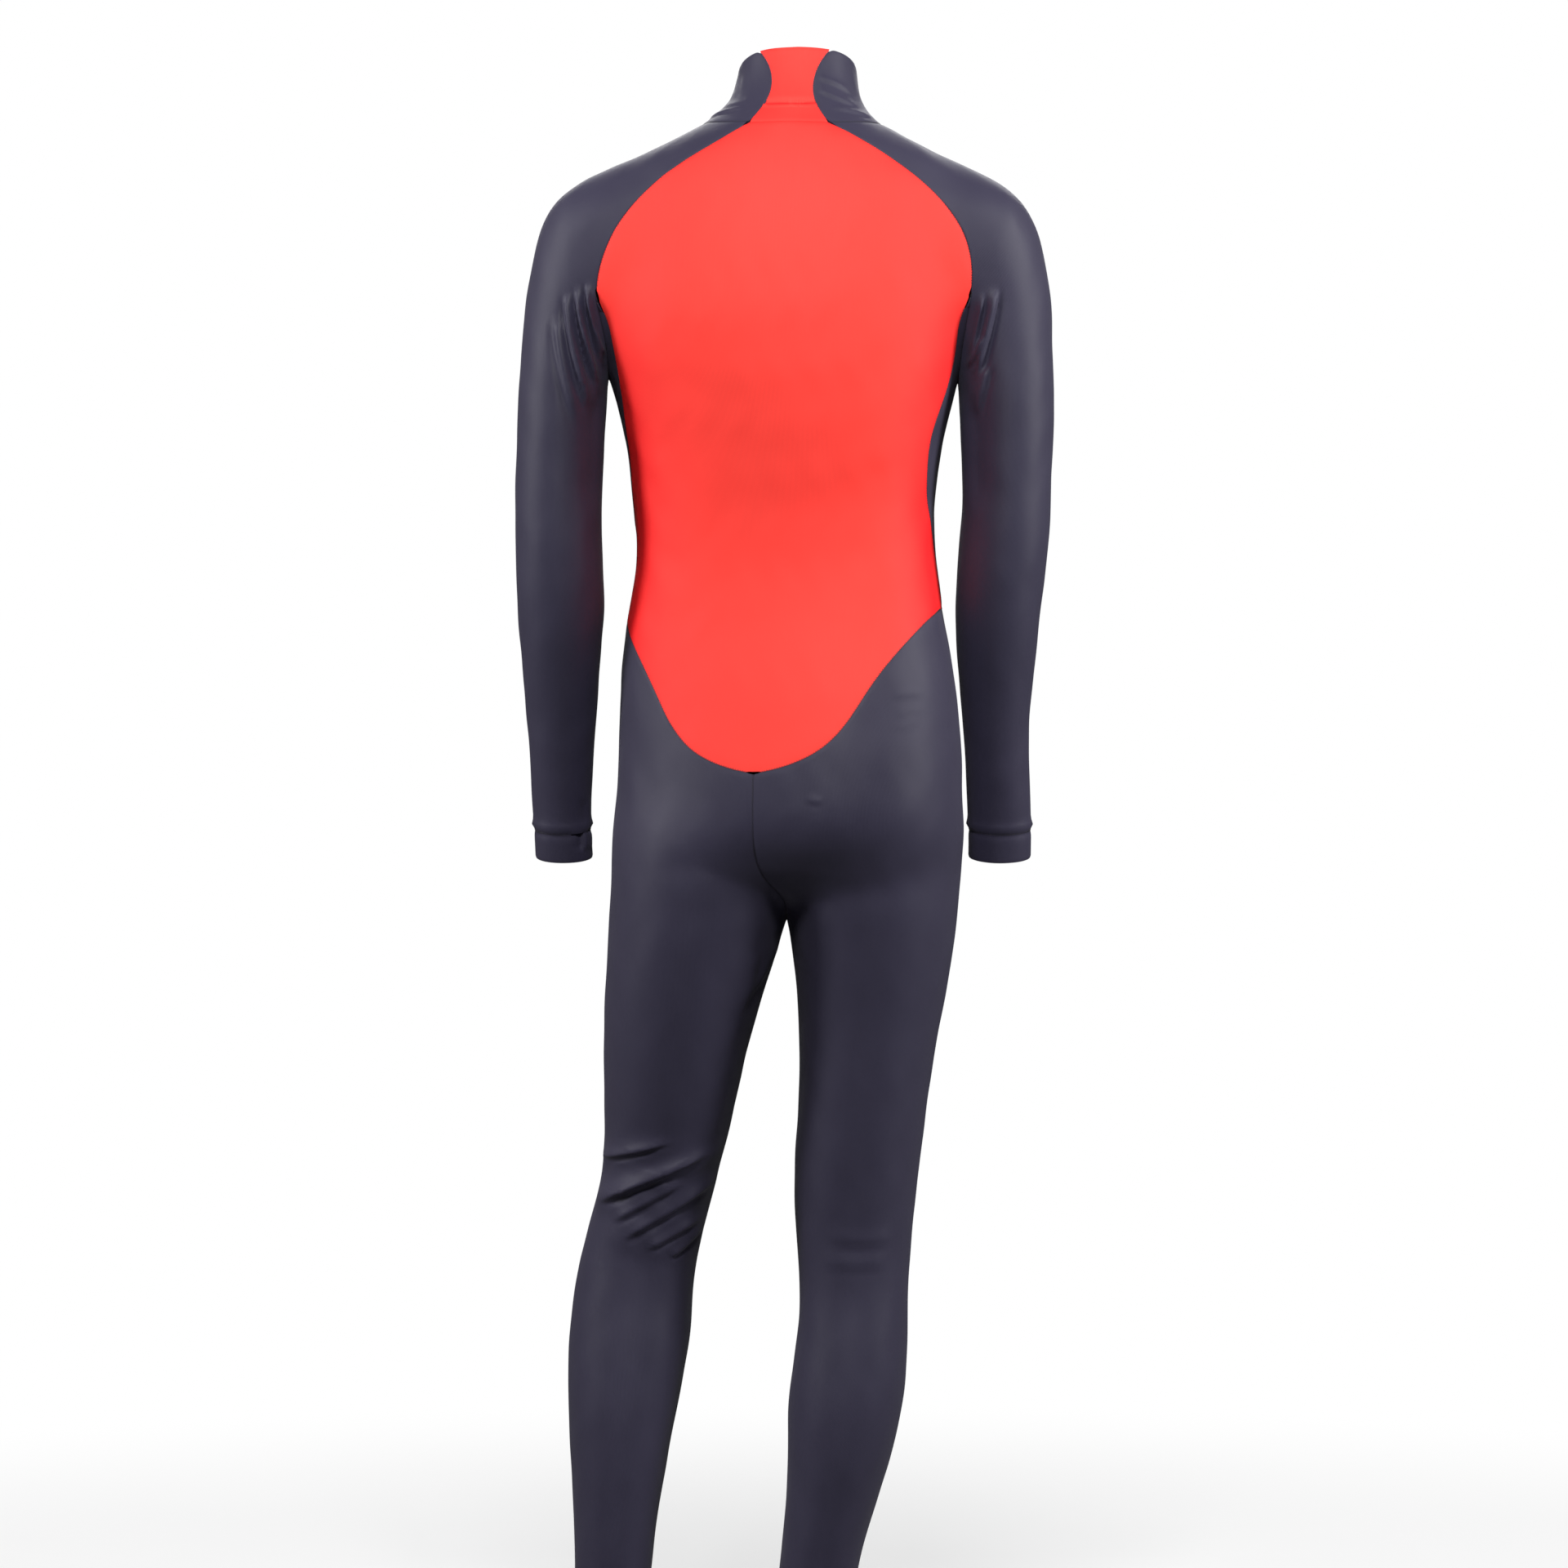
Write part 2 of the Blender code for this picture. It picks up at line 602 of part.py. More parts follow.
def wall(name, grid, material, rings=0, thickness=CLOTH):
    """One panel of cloth: the grid is its outer face, and its first rows may be closed rings."""
    rows, columns = grid.shape[:2]
    index = np.arange(rows * columns).reshape(rows, columns)
    index[:rings, -1] = index[:rings, 0]
    used, index = np.unique(index, return_inverse=True)
    index = index.reshape(rows, columns)
    points = grid.reshape(-1, 3)[used]
    faces = []
    for r in range(rows - 1):
        for c in range(columns - 1):
            corners = index[r, c], index[r, c + 1], index[r + 1, c + 1], index[r + 1, c]
            faces += two_triangles(points, corners)
    normals = normals_at(points)
    turned = turned_out(points, np.array(faces))
    if (turned * normals).sum() < 0:
        faces, turned = [face[::-1] for face in faces], -turned
    edges = {(face[k], face[(k + 1) % 3]) for face in faces for k in range(3)}
    rim = {a: b for a, b in sorted(edges) if (b, a) not in edges}
    # In the sharp valley under an arm the form's direction runs along the cloth, so the cloth's own is used
    own = ease((turned * normals).sum(-1), 0.6, 0.2)[:, None]
    thick = own * turned + (1 - own) * normals
    thick /= np.linalg.norm(thick, axis=-1, keepdims=True)
    rims = rim_faces(points, rim, len(points))
    points = points + seam_allowance(points, normals, rim)
    inner = points - thick * thickness
    count = len(points)
    inside = [tuple(i + count for i in face[::-1]) for face in faces]
    mesh = bpy.data.meshes.new(name)
    mesh.from_pydata(np.vstack([points, inner]).tolist(), [], faces + inside + rims)
    mesh.materials.append(material)
    mesh.shade_smooth()
    made = bpy.data.objects.new(name, mesh)
    SUIT.objects.link(made)
    return made


def turned_out(points, faces):
    """Unit directions square to a panel's own faces, at its points."""
    a, b, c = (points[faces[:, k]] for k in range(3))
    square = np.zeros_like(points)
    for k in range(3):
        np.add.at(square, faces[:, k], np.cross(b - a, c - a))
    return square / np.linalg.norm(square, axis=-1, keepdims=True)


def rim_faces(points, rim, count):
    """The faces across a panel's edge, split alike on both panels that meet at a seam."""
    faces = []
    for a, b in rim.items():
        if tuple(points[a][::-1]) < tuple(points[b][::-1]):
            faces += [(b, a, b + count), (a, a + count, b + count)]
        else:
            faces += [(b, a, a + count), (b, a + count, b + count)]
    return faces


def seam_allowance(points, normals, rim):
    """Half the seam gap, taken back from a panel's edge along its surface."""
    shift = np.zeros_like(points)
    before = {b: a for a, b in rim.items()}
    for here, after in rim.items():
        inward = []
        for a, b in ((before[here], here), (here, after)):
            side = np.cross(normals[here], points[b] - points[a])
            inward.append(side / np.linalg.norm(side))
        share = max(1 + inward[0] @ inward[1], 0.4)
        shift[here] = (inward[0] + inward[1]) / share * SEAM_GAP / 2
    return shift


def plain_material(name, colour, roughness, metallic=0.0):
    """A surface of one colour."""
    made = bpy.data.materials.new(name)
    made.use_nodes = True
    shader = made.node_tree.nodes["Principled BSDF"]
    shader.inputs["Base Color"].default_value = (*colour, 1)
    shader.inputs["Roughness"].default_value = roughness
    shader.inputs["Metallic"].default_value = metallic
    return made


def new_collection(name):
    """A collection in the scene."""
    made = bpy.data.collections.new(name)
    bpy.context.scene.collection.children.link(made)
    return made


for old in list(bpy.data.objects):
    bpy.data.objects.remove(old)
SUIT = new_collection("Speed skating suit")
CUTTERS = new_collection("Cutters")
RED = plain_material("Red jersey", (0.90, 0.055, 0.035), 0.55)
GREY = plain_material("Dark grey jersey", (0.060, 0.055, 0.070), 0.50)
TAPE = plain_material("Zip tape", (0.030, 0.030, 0.034), 0.60)
METAL = plain_material("Dark metal", (0.10, 0.10, 0.11), 0.35, 1.0)


def seams_of(side):
    """All seam lines on one side of the suit."""
    underarm = saddle(UNDER_ARM[side], 0.030)
    crotch = saddle(UNDER_CROTCH, 0.040)
    behind_arm, before_arm = (
        np.vstack([valley(UNDER_ARM[side], underarm[1] + way * np.array(UNDERARM_RUN)), underarm])
        for way in (1, -1)
    )
    behind_legs, before_legs = (
        np.vstack([valley(UNDER_CROTCH, crotch[1] + way * np.array(CROTCH_RUN)), crotch])
        for way in (1, -1)
    )
    raglan_cuts = CUTS["back raglan"] + CUTS["underarm"]
    waist_cuts = CUTS["front collar"] + raglan_cuts + CUTS["underarm"]
    lines = {
        "back raglan": seam_from(BACK_RAGLAN, CUTS["back raglan"], side, 1),
        "underarm": seam(UNDERARM_RAGLAN, CUTS["underarm"], side, after=behind_arm),
        "front raglan": seam(FRONT_RAGLAN, raglan_cuts, side, after=before_arm),
        "back side": seam(BACK_SIDE, CUTS["back side"], side, before=onto_form(BACK_SIDE_TOP[side])),
        "back waist": seam(BACK_WAIST, CUTS["collar back"], side),
        "front waist": seam(FRONT_WAIST, waist_cuts, side),
        "back rise": seam(BACK_RISE, CUTS["rise"], side, after=behind_legs),
        "front rise": seam(FRONT_RISE, CUTS["rise"], side, after=before_legs),
    }
    back, front = RAGLAN_AT_NECK[side]
    lines["collar back"] = neck_points(np.linspace(0, back, CUTS["collar back"] + 1), 0.0, side)
    lines["sleeve neck"] = neck_points(np.linspace(back, front, CUTS["sleeve neck"] + 1), 0.0, side)
    lines["front collar"] = neck_points(np.linspace(front, ZIP_DEGREES, CUTS["front collar"] + 1), 0.0, side)
    zip_heights = np.linspace(lines["front collar"][-1][2], FRONT_WAIST[-1][2], CUTS["back side"] + 1)
    lines["zip"] = zip_line(zip_heights, ZIP_HALF, side)
    lines["front middle"] = zip_line(zip_heights, 0.0, side)
    for name, end, other, other_end in SEAM_ENDS:
        lines[name][end] = lines[other][other_end]
    return lines


# Degrees from the middle of the back where the collar meets the zip
ZIP_DEGREES = 177.1
# Direction that a front faces, from the middle of the back
FRONT_FACING = np.radians(120)
# Seam ends that meet: a line and its end, and the line and end that it takes over
SEAM_ENDS = (
    ("back raglan", 0, "collar back", -1),
    ("front raglan", 0, "sleeve neck", -1),
    ("front collar", -1, "zip", 0),
    ("underarm", 0, "back raglan", -1),
    ("back side", 0, "back raglan", -1),
    ("front raglan", -1, "underarm", -1),
    ("back waist", -1, "back side", -1),
    ("front waist", 0, "back side", -1),
    ("front waist", -1, "zip", -1),
    ("back rise", 0, "back waist", 0),
    ("front rise", 0, "front middle", -1),
    ("front rise", -1, "back rise", -1),
)


def mirrored(name, lines):
    """A line of both sides, from the left end through the middle to the right end."""
    return np.vstack([lines[1][name][:0:-1], lines[-1][name]])


def make_back(lines):
    """The red back."""
    grid = laid_panel(
        mirrored("collar back", lines),
        mirrored("back waist", lines),
        np.vstack([lines[1]["back raglan"], lines[1]["back side"][1:]]),
        np.vstack([lines[-1]["back raglan"], lines[-1]["back side"][1:]]),
        facing=0.0,
    )
    wall("back", grid, RED)


def make_front(name, line, side):
    """One front, from the zip round the side to the back."""
    top = np.vstack([line["front collar"][::-1], line["front raglan"][1:], line["underarm"][-2::-1]])
    waist = line["front waist"][::-1]
    grid = laid_panel(top, waist, line["zip"], line["back side"], facing=side * FRONT_FACING)
    wall(name, grid, GREY)


def make_sleeve(side_name, line):
    """A raglan sleeve and its cuff."""
    limb = side_name + " arm"
    start = np.vstack([line["underarm"][::-1], line["back raglan"][-2::-1]])
    end = line["front raglan"][::-1]
    heights = np.linspace(SLEEVE_END, start[0, 2], CUTS["sleeve"] + 1)[:-1]
    shares = np.linspace(0, 1, CUTS["sleeve neck"] + 1)
    grid, rings = limb_panel(limb, heights, shares, line["sleeve neck"], start, end)
    wall("sleeve_" + side_name, grid, GREY, rings)
    headings = limb_headings(limb, start[0], shares)
    cuff = [
        limb_ring(limb, z, headings, limb_tilt(limb, z))
        for z in np.linspace(CUFF_END, SLEEVE_END, CUTS["cuff"] + 1)
    ]
    wall("cuff_" + side_name, np.array(cuff), GREY, len(cuff))


def make_leg(side_name, line):
    """A leg with its half of the seat."""
    top = np.vstack([line["back waist"], line["front waist"][1:], line["front middle"][-1:]])
    back_columns = CUTS["collar back"]
    columns = len(top) - 1
    # The side seam point W stays on the leg's outer side
    shares = np.interp(np.arange(columns + 1), (0, back_columns, columns), (0, 0.47, 1))
    heights = np.linspace(LEG_END, line["back rise"][-1][2], CUTS["leg"] + 1)[:-1]
    if side_name == "left":
        below, above, steps = KNEE_ROWS
        close = np.linspace(below, above, steps + 1)
        clear = (heights < below - ROW_SPACE) | (heights > above + ROW_SPACE)
        heights = np.sort(np.r_[heights[clear], close])
    grid, rings = limb_panel(
        side_name + " leg", heights, shares, top, line["back rise"][::-1], line["front rise"][::-1]
    )
    if side_name == "left":
        grid = folded(grid)
    wall("leg_" + side_name, grid, GREY, rings)


def make_collar(lines):
    """The red back of the collar and its two dark sides."""
    shares = np.linspace(0, 1, CUTS["collar height"] + 1)
    half = np.linspace(0, 1, CUTS["collar back"] + 1)
    halves = {1: [], -1: []}
    sides = {1: [], -1: []}
    for side, column in ((1, 0), (-1, 1)):
        back, front = RAGLAN_AT_NECK[side]
        sleeve = np.linspace(back, front, CUTS["sleeve neck"] + 1)
        rest = np.linspace(front, ZIP_DEGREES, CUTS["front collar"] + 1)[1:]
        around = (np.r_[sleeve, rest] - back) / (ZIP_DEGREES - back)
        for share in shares:
            red = COLLAR_RED_AT(np.array(share))[column]
            halves[side].append(neck_points(half * red, share, side))
            sides[side].append(neck_points(red + around * (ZIP_DEGREES - red), share, side))
        halves[side][0] = lines[side]["collar back"]
        sides[side][0] = np.vstack([lines[side]["sleeve neck"], lines[side]["front collar"][1:]])
    red_grid = np.concatenate([np.array(halves[1])[:, :0:-1], np.array(halves[-1])], axis=1)
    wall("collar_back", red_grid, RED)
    for side, name in ((1, "left"), (-1, "right")):
        wall("collar_" + name, np.array(sides[side]), GREY)


def make_zip_tape(side_name, line, side):
    """One half of the zip's tape, from the top of the collar to the front waist seam."""
    shares = np.linspace(1, 0, CUTS["collar height"] + 1)[:-1]
    edge = [neck_points(np.array([ZIP_DEGREES]), share, side)[0] for share in shares]
    middle = [neck_points(np.array([180.0]), share, side)[0] for share in shares]
    outer = np.vstack([edge, line["zip"]])
    inner = np.vstack([middle, line["front middle"]])
    wall("zip_tape_" + side_name, np.stack([inner, outer], axis=1), TAPE)


def slider_place():
    """Where the slider sits: its axes are across, inwards and up along the zip."""
    step = 0.004
    heights = (SLIDER_HEIGHT - step, SLIDER_HEIGHT, SLIDER_HEIGHT + step)
    below, here, above = zip_line(heights, 0.0, 1)
    up = (above - below) / np.linalg.norm(above - below)
    turn = np.radians(TRUNK_AT(np.array(SLIDER_HEIGHT))[-1])
    across = np.array([np.cos(turn), -np.sin(turn), 0.0])
    inwards = np.cross(up, across)
    axes = np.column_stack([across, inwards, np.cross(across, inwards)])
    place = Matrix(axes.tolist()).to_4x4()
    place.translation = here.tolist()
    return place


def block(name, size, middle, place, material, edge=0.0):
    """A block of a hard piece, with its edges rounded where edge is given."""
    shape = bmesh.new()
    bmesh.ops.create_cube(shape, size=1.0)
    bmesh.ops.scale(shape, vec=size, verts=shape.verts)
    bmesh.ops.translate(shape, vec=middle, verts=shape.verts)
    if edge:
        bmesh.ops.bevel(shape, geom=shape.edges, offset=edge, segments=1, affect="EDGES")
    mesh = bpy.data.meshes.new(name)
    shape.to_mesh(mesh)
    shape.free()
    mesh.materials.append(material)
    made = bpy.data.objects.new(name, mesh)
    made.matrix_world = place
    return made


def join(base, other, operation):
    """Adds one shape to another, or cuts it away."""
    CUTTERS.objects.link(other)
    other.hide_render = True
    other.display_type = "WIRE"
    change = base.modifiers.new(other.name, "BOOLEAN")
    change.operation = operation
    change.object = other


def make_slider(place):
    """The zip's slider: a plate with an arch that holds the pull tab."""
    plate_middle = (0, -SEAM_GAP - SLIDER[1] / 2, 0)
    slider = block("zip_slider", SLIDER, plate_middle, place, METAL, 0.0004)
    SUIT.objects.link(slider)
    bpy.ops.mesh.primitive_torus_add(
        major_radius=ARCH[0], minor_radius=ARCH[1], major_segments=16, minor_segments=8
    )
    arch = bpy.context.object
    arch.name = "arch"
    bpy.context.collection.objects.unlink(arch)
    stand = Matrix.Translation((0, -PULL_AXIS, 0)) @ Matrix.Rotation(np.pi / 2, 4, "Y")
    arch.matrix_world = place @ stand
    join(slider, arch, "UNION")


def make_pull(place):
    """The pull tab, hanging plumb: it swings on the bar above its window, inside the slider's arch."""
    width, thickness, length, window = PULL
    pivot = Matrix.Translation(place @ Vector((0, -PULL_AXIS, 0)))
    tab_height = length + PULL_BAR / 2
    middle = (0, 0, -tab_height / 2 + PULL_BAR / 2)
    tab = block("zip_pull", (width, thickness, tab_height), middle, pivot, METAL, 0.0003)
    SUIT.objects.link(tab)
    hole_height = window - PULL_BAR / 2
    hole_middle = (0, 0, -PULL_BAR / 2 - hole_height / 2)
    hole = block("pull_window", (width - 2 * PULL_BAR, 0.004, hole_height), hole_middle, pivot, METAL)
    join(tab, hole, "DIFFERENCE")


def main():
    """Builds every piece of the suit."""
    lines = {side: seams_of(side) for side in (1, -1)}
    make_back(lines)
    make_collar(lines)
    for side, name in ((1, "left"), (-1, "right")):
        make_front("front_" + name, lines[side], side)
        make_sleeve(name, lines[side])
        make_leg(name, lines[side])
        make_zip_tape(name, lines[side], side)
    place = slider_place()
    make_slider(place)
    make_pull(place)


if __name__ == "__main__":
    main()
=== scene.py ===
"""Speed skating suit: the looks of a close one-piece of stretch jersey, worn and hollow.

Metres, +Z up, +Y towards the wearer's back, +X towards the wearer's left, as in the frame.
Each panel takes the outer face of its solid, laid flat for the run of its knit, made fine and
smooth, creased where the cloth is pulled or slack, and given its thickness again.
"""

import bmesh
import bpy
import numpy as np
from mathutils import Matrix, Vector
from mathutils.kdtree import KDTree


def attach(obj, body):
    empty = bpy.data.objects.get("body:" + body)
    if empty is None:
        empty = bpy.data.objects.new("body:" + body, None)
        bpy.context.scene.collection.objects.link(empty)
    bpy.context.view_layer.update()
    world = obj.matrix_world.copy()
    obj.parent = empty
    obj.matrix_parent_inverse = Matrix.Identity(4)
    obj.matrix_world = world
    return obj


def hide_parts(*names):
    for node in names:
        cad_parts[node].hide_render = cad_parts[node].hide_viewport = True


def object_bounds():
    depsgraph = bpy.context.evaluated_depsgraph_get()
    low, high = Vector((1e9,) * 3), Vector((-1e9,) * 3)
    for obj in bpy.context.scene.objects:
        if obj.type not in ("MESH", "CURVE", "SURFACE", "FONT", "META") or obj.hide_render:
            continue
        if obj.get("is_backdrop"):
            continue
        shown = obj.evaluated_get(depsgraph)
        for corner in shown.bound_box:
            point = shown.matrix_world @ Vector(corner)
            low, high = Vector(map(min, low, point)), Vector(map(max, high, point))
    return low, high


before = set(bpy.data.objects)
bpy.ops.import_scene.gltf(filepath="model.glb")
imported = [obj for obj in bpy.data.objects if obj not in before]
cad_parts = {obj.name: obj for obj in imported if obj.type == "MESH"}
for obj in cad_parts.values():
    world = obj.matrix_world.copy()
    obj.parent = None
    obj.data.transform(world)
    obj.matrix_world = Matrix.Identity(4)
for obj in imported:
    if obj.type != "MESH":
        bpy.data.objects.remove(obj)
CAD_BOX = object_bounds()

# Cloth: thickness, how exactly an edge has to match it, how often each face is halved,
# and how far an edge sinks at its seam
CLOTH = 0.0014
EDGE_SLACK = 0.00004
FINENESS = 3
SEAM_SINK = 0.00045
# Points closer than this are one, and an inseam's next point lies at least so far below the last
SAME_POINT = 0.00002
INSEAM_STEP = 0.002
# Triangles are joined to four-sided faces at any angle, and an edge is sharp from this angle on
ANY_ANGLE = np.pi
SHARP_ANGLE = np.radians(50)
# Panels whose solids are closely divided at their folds: share of their faces that is kept once
# they are smooth, and how strongly their edges are spared
THINNED = {"leg_left": 0.6}
KEEP_WEIGHT = 1000

PANELS = {
    "back": "red jersey",
    "collar_back": "red jersey",
    "collar_left": "grey jersey",
    "collar_right": "grey jersey",
    "front_left": "grey jersey",
    "front_right": "grey jersey",
    "sleeve_left": "grey jersey",
    "sleeve_right": "grey jersey",
    "cuff_left": "grey jersey",
    "cuff_right": "grey jersey",
    "leg_left": "grey jersey",
    "leg_right": "grey jersey",
    "zip_tape_left": "zip tape",
    "zip_tape_right": "zip tape",
}
TUBES = ("sleeve_left", "sleeve_right", "cuff_left", "cuff_right", "leg_left", "leg_right")

# Seams: one panel, the panel sewn to it, the thread
SEAMS = (
    ("back", "sleeve_left", "grey thread"),
    ("back", "sleeve_right", "grey thread"),
    ("back", "front_left", "grey thread"),
    ("back", "front_right", "grey thread"),
    ("back", "leg_left", "grey thread"),
    ("back", "leg_right", "grey thread"),
    ("back", "collar_back", "red thread"),
    ("collar_back", "collar_left", "grey thread"),
    ("collar_back", "collar_right", "grey thread"),
    ("front_left", "sleeve_left", "grey thread"),
    ("front_right", "sleeve_right", "grey thread"),
    ("front_left", "leg_left", "grey thread"),
    ("front_right", "leg_right", "grey thread"),
    ("leg_left", "leg_right", "grey thread"),
    ("collar_left", "sleeve_left", "grey thread"),
    ("collar_right", "sleeve_right", "grey thread"),
    ("collar_left", "front_left", "grey thread"),
    ("collar_right", "front_right", "grey thread"),
    ("cuff_left", "sleeve_left", "grey thread"),
    ("cuff_right", "sleeve_right", "grey thread"),
    ("zip_tape_left", "front_left", "grey thread"),
    ("zip_tape_right", "front_right", "grey thread"),
    ("zip_tape_left", "collar_left", "grey thread"),
    ("zip_tape_right", "collar_right", "grey thread"),
)
SEAM_REACH = 0.0016
SEAM_HAIR = 0.00002
# Collar, sleeve and front are closed over a longer gap, because they meet at a corner
CORNER_REACH = 0.0045

# Creases, as seen from behind (facing 1) or from the front (facing -1): panel, facing,
# start x, start z, bend x, bend z, end x, end z, half width, height, how sharply one flank falls
CREASES = (
    # Behind the bent left knee
    ("leg_left", 1, 0.1760, -0.9640, 0.1430, -0.9570, 0.1050, -0.9450, 0.0050, 0.0030, 0.28),
    ("leg_left", 1, 0.1770, -1.0060, 0.1230, -0.9800, 0.0690, -0.9560, 0.0070, 0.0054, 0.22),
    ("leg_left", 1, 0.1620, -1.0220, 0.1300, -1.0030, 0.0940, -0.9820, 0.0050, 0.0026, 0.45),
    ("leg_left", 1, 0.1530, -1.0390, 0.1100, -1.0120, 0.0640, -0.9830, 0.0060, 0.0036, 0.35),
    ("leg_left", 1, 0.1300, -1.0480, 0.1060, -1.0330, 0.0800, -1.0190, 0.0050, 0.0028, 0.40),
    ("leg_left", 1, 0.1090, -1.0560, 0.0930, -1.0450, 0.0770, -1.0260, 0.0045, 0.0024, 0.40),
    # Behind the straight right knee
    ("leg_right", 1, -0.1000, -1.0330, -0.0680, -1.0400, -0.0300, -1.0300, 0.0060, 0.0012, 0.70),
    ("leg_right", 1, -0.0930, -1.0560, -0.0600, -1.0620, -0.0290, -1.0540, 0.0050, 0.0010, 0.70),
    # In front of the left hip and over both knees
    ("leg_left", -1, 0.1450, -0.6200, 0.0950, -0.6650, 0.0450, -0.6950, 0.0070, 0.0018, 0.60),
    ("leg_left", -1, 0.1500, -0.6600, 0.1000, -0.6950, 0.0500, -0.7200, 0.0060, 0.0015, 0.60),
    ("leg_right", -1, -0.1450, -0.6250, -0.0950, -0.6700, -0.0450, -0.7000, 0.0070, 0.0016, 0.60),
    ("leg_right", -1, -0.1500, -0.6650, -0.1000, -0.7000, -0.0500, -0.7250, 0.0060, 0.0013, 0.60),
    # Inside of the left thigh
    ("leg_left", 1, 0.0060, -0.7560, 0.0180, -0.7900, 0.0420, -0.8200, 0.0050, 0.0020, 0.60),
    ("leg_left", 1, 0.0280, -0.7660, 0.0320, -0.8000, 0.0470, -0.8350, 0.0060, 0.0018, 0.60),
    # Faint pulls over the right hip and seat
    ("leg_right", 1, -0.0960, -0.5370, -0.1100, -0.5330, -0.1250, -0.5340, 0.0030, 0.0007, 0.70),
    ("leg_right", 1, -0.0980, -0.5560, -0.1150, -0.5480, -0.1290, -0.5490, 0.0030, 0.0007, 0.70),
    ("leg_right", 1, -0.0980, -0.5680, -0.1130, -0.5600, -0.1250, -0.5560, 0.0030, 0.0007, 0.70),
    ("leg_right", 1, -0.0180, -0.6290, -0.0250, -0.6325, -0.0330, -0.6320, 0.0028, 0.0008, 0.70),
    # Where the left sleeve hangs from the shoulder
    ("sleeve_left", 1, 0.1830, -0.1560, 0.1820, -0.1980, 0.1690, -0.2340, 0.0040, 0.0058, 0.32),
    ("sleeve_left", 1, 0.1930, -0.1600, 0.1900, -0.2080, 0.1730, -0.2600, 0.0042, 0.0068, 0.32),
    ("sleeve_left", 1, 0.2030, -0.1640, 0.2000, -0.2200, 0.1800, -0.2800, 0.0048, 0.0060, 0.35),
    ("sleeve_left", 1, 0.2120, -0.1850, 0.2080, -0.2360, 0.1900, -0.2900, 0.0060, 0.0034, 0.50),
    ("sleeve_left", 1, 0.1770, -0.1950, 0.1750, -0.2100, 0.1690, -0.2220, 0.0025, 0.0020, 0.50),
    # Where it turns in towards the body
    ("sleeve_left", 1, 0.1760, -0.2500, 0.1770, -0.3100, 0.1800, -0.3700, 0.0100, -0.0030, 0.60),
    ("sleeve_right", 1, -0.1740, -0.2500, -0.1740, -0.3100, -0.1760, -0.3700, 0.0100, -0.0030, 0.60),
    ("sleeve_left", -1, 0.1900, -0.1650, 0.1880, -0.2050, 0.1760, -0.2420, 0.0055, 0.0030, 0.50),
    ("sleeve_left", -1, 0.2020, -0.1750, 0.1990, -0.2200, 0.1850, -0.2650, 0.0055, 0.0026, 0.50),
    # The right sleeve
    ("sleeve_right", 1, -0.1930, -0.1600, -0.1860, -0.2040, -0.1740, -0.2460, 0.0050, 0.0060, 0.40),
    ("sleeve_right", 1, -0.1800, -0.1660, -0.1780, -0.1960, -0.1700, -0.2260, 0.0036, 0.0036, 0.45),
    ("sleeve_right", 1, -0.1820, -0.2050, -0.1780, -0.2200, -0.1660, -0.2340, 0.0032, 0.0034, 0.50),
    ("sleeve_right", 1, -0.1840, -0.2300, -0.1800, -0.2560, -0.1730, -0.2800, 0.0050, 0.0030, 0.50),
    ("sleeve_right", -1, -0.1900, -0.1700, -0.1870, -0.2050, -0.1760, -0.2420, 0.0055, 0.0028, 0.50),
    # Inside of the elbows
    ("sleeve_left", -1, 0.1850, -0.4050, 0.2080, -0.4120, 0.2350, -0.4040, 0.0060, 0.0020, 0.60),
    ("sleeve_left", -1, 0.1880, -0.4280, 0.2090, -0.4340, 0.2300, -0.4260, 0.0050, 0.0016, 0.60),
    ("sleeve_right", -1, -0.1800, -0.4060, -0.2000, -0.4140, -0.2240, -0.4050, 0.0060, 0.0019, 0.60),
    ("sleeve_right", -1, -0.1820, -0.4300, -0.1990, -0.4360, -0.2200, -0.4280, 0.0050, 0.0015, 0.60),
    # The left cuff's slack
    ("cuff_left", 1, 0.1930, -0.6560, 0.1920, -0.6680, 0.1935, -0.6800, 0.0030, -0.0026, 0.60),
    ("cuff_left", 1, 0.1850, -0.6580, 0.1845, -0.6680, 0.1860, -0.6790, 0.0034, 0.0016, 0.60),
    ("sleeve_left", 1, 0.1900, -0.6300, 0.1890, -0.6440, 0.1900, -0.6560, 0.0040, -0.0016, 0.60),
    # The collar, where it turns at its foot and softly at its sides
    ("collar_back", 1, 0.0330, 0.0095, -0.0020, 0.0085, -0.0340, 0.0095, 0.0022, -0.0028, 0.40),
    ("collar_left", 1, 0.0760, 0.0015, 0.0560, 0.0050, 0.0340, 0.0050, 0.0026, 0.0016, 0.35),
    ("collar_right", 1, -0.0400, 0.0040, -0.0620, 0.0030, -0.0820, -0.0010, 0.0026, 0.0016, 0.35),
    ("collar_right", 1, -0.0280, 0.0340, -0.0480, 0.0300, -0.0640, 0.0200, 0.0030, 0.0013, 0.50),
    ("collar_right", 1, -0.0280, 0.0220, -0.0470, 0.0140, -0.0700, 0.0080, 0.0032, 0.0014, 0.50),
    ("collar_left", 1, 0.0330, 0.0130, 0.0480, 0.0090, 0.0600, 0.0120, 0.0030, 0.0009, 0.60),
    ("collar_left", 1, 0.0480, 0.0480, 0.0460, 0.0300, 0.0500, 0.0160, 0.0040, 0.0009, 0.60),
)

# A crease's steps along its line, and how many half widths from it the cloth still moves
CREASE_STEPS = 41
CREASE_REACH = 5
# Share of its length over which a crease rises and runs out
CREASE_START, CREASE_END = 0.22, 0.30
# Soft flank: share of its near slope, share and width of its wide slope
NEAR_SLOPE, WIDE_SLOPE, WIDE_WIDTH = 0.55, 0.45, 1.8
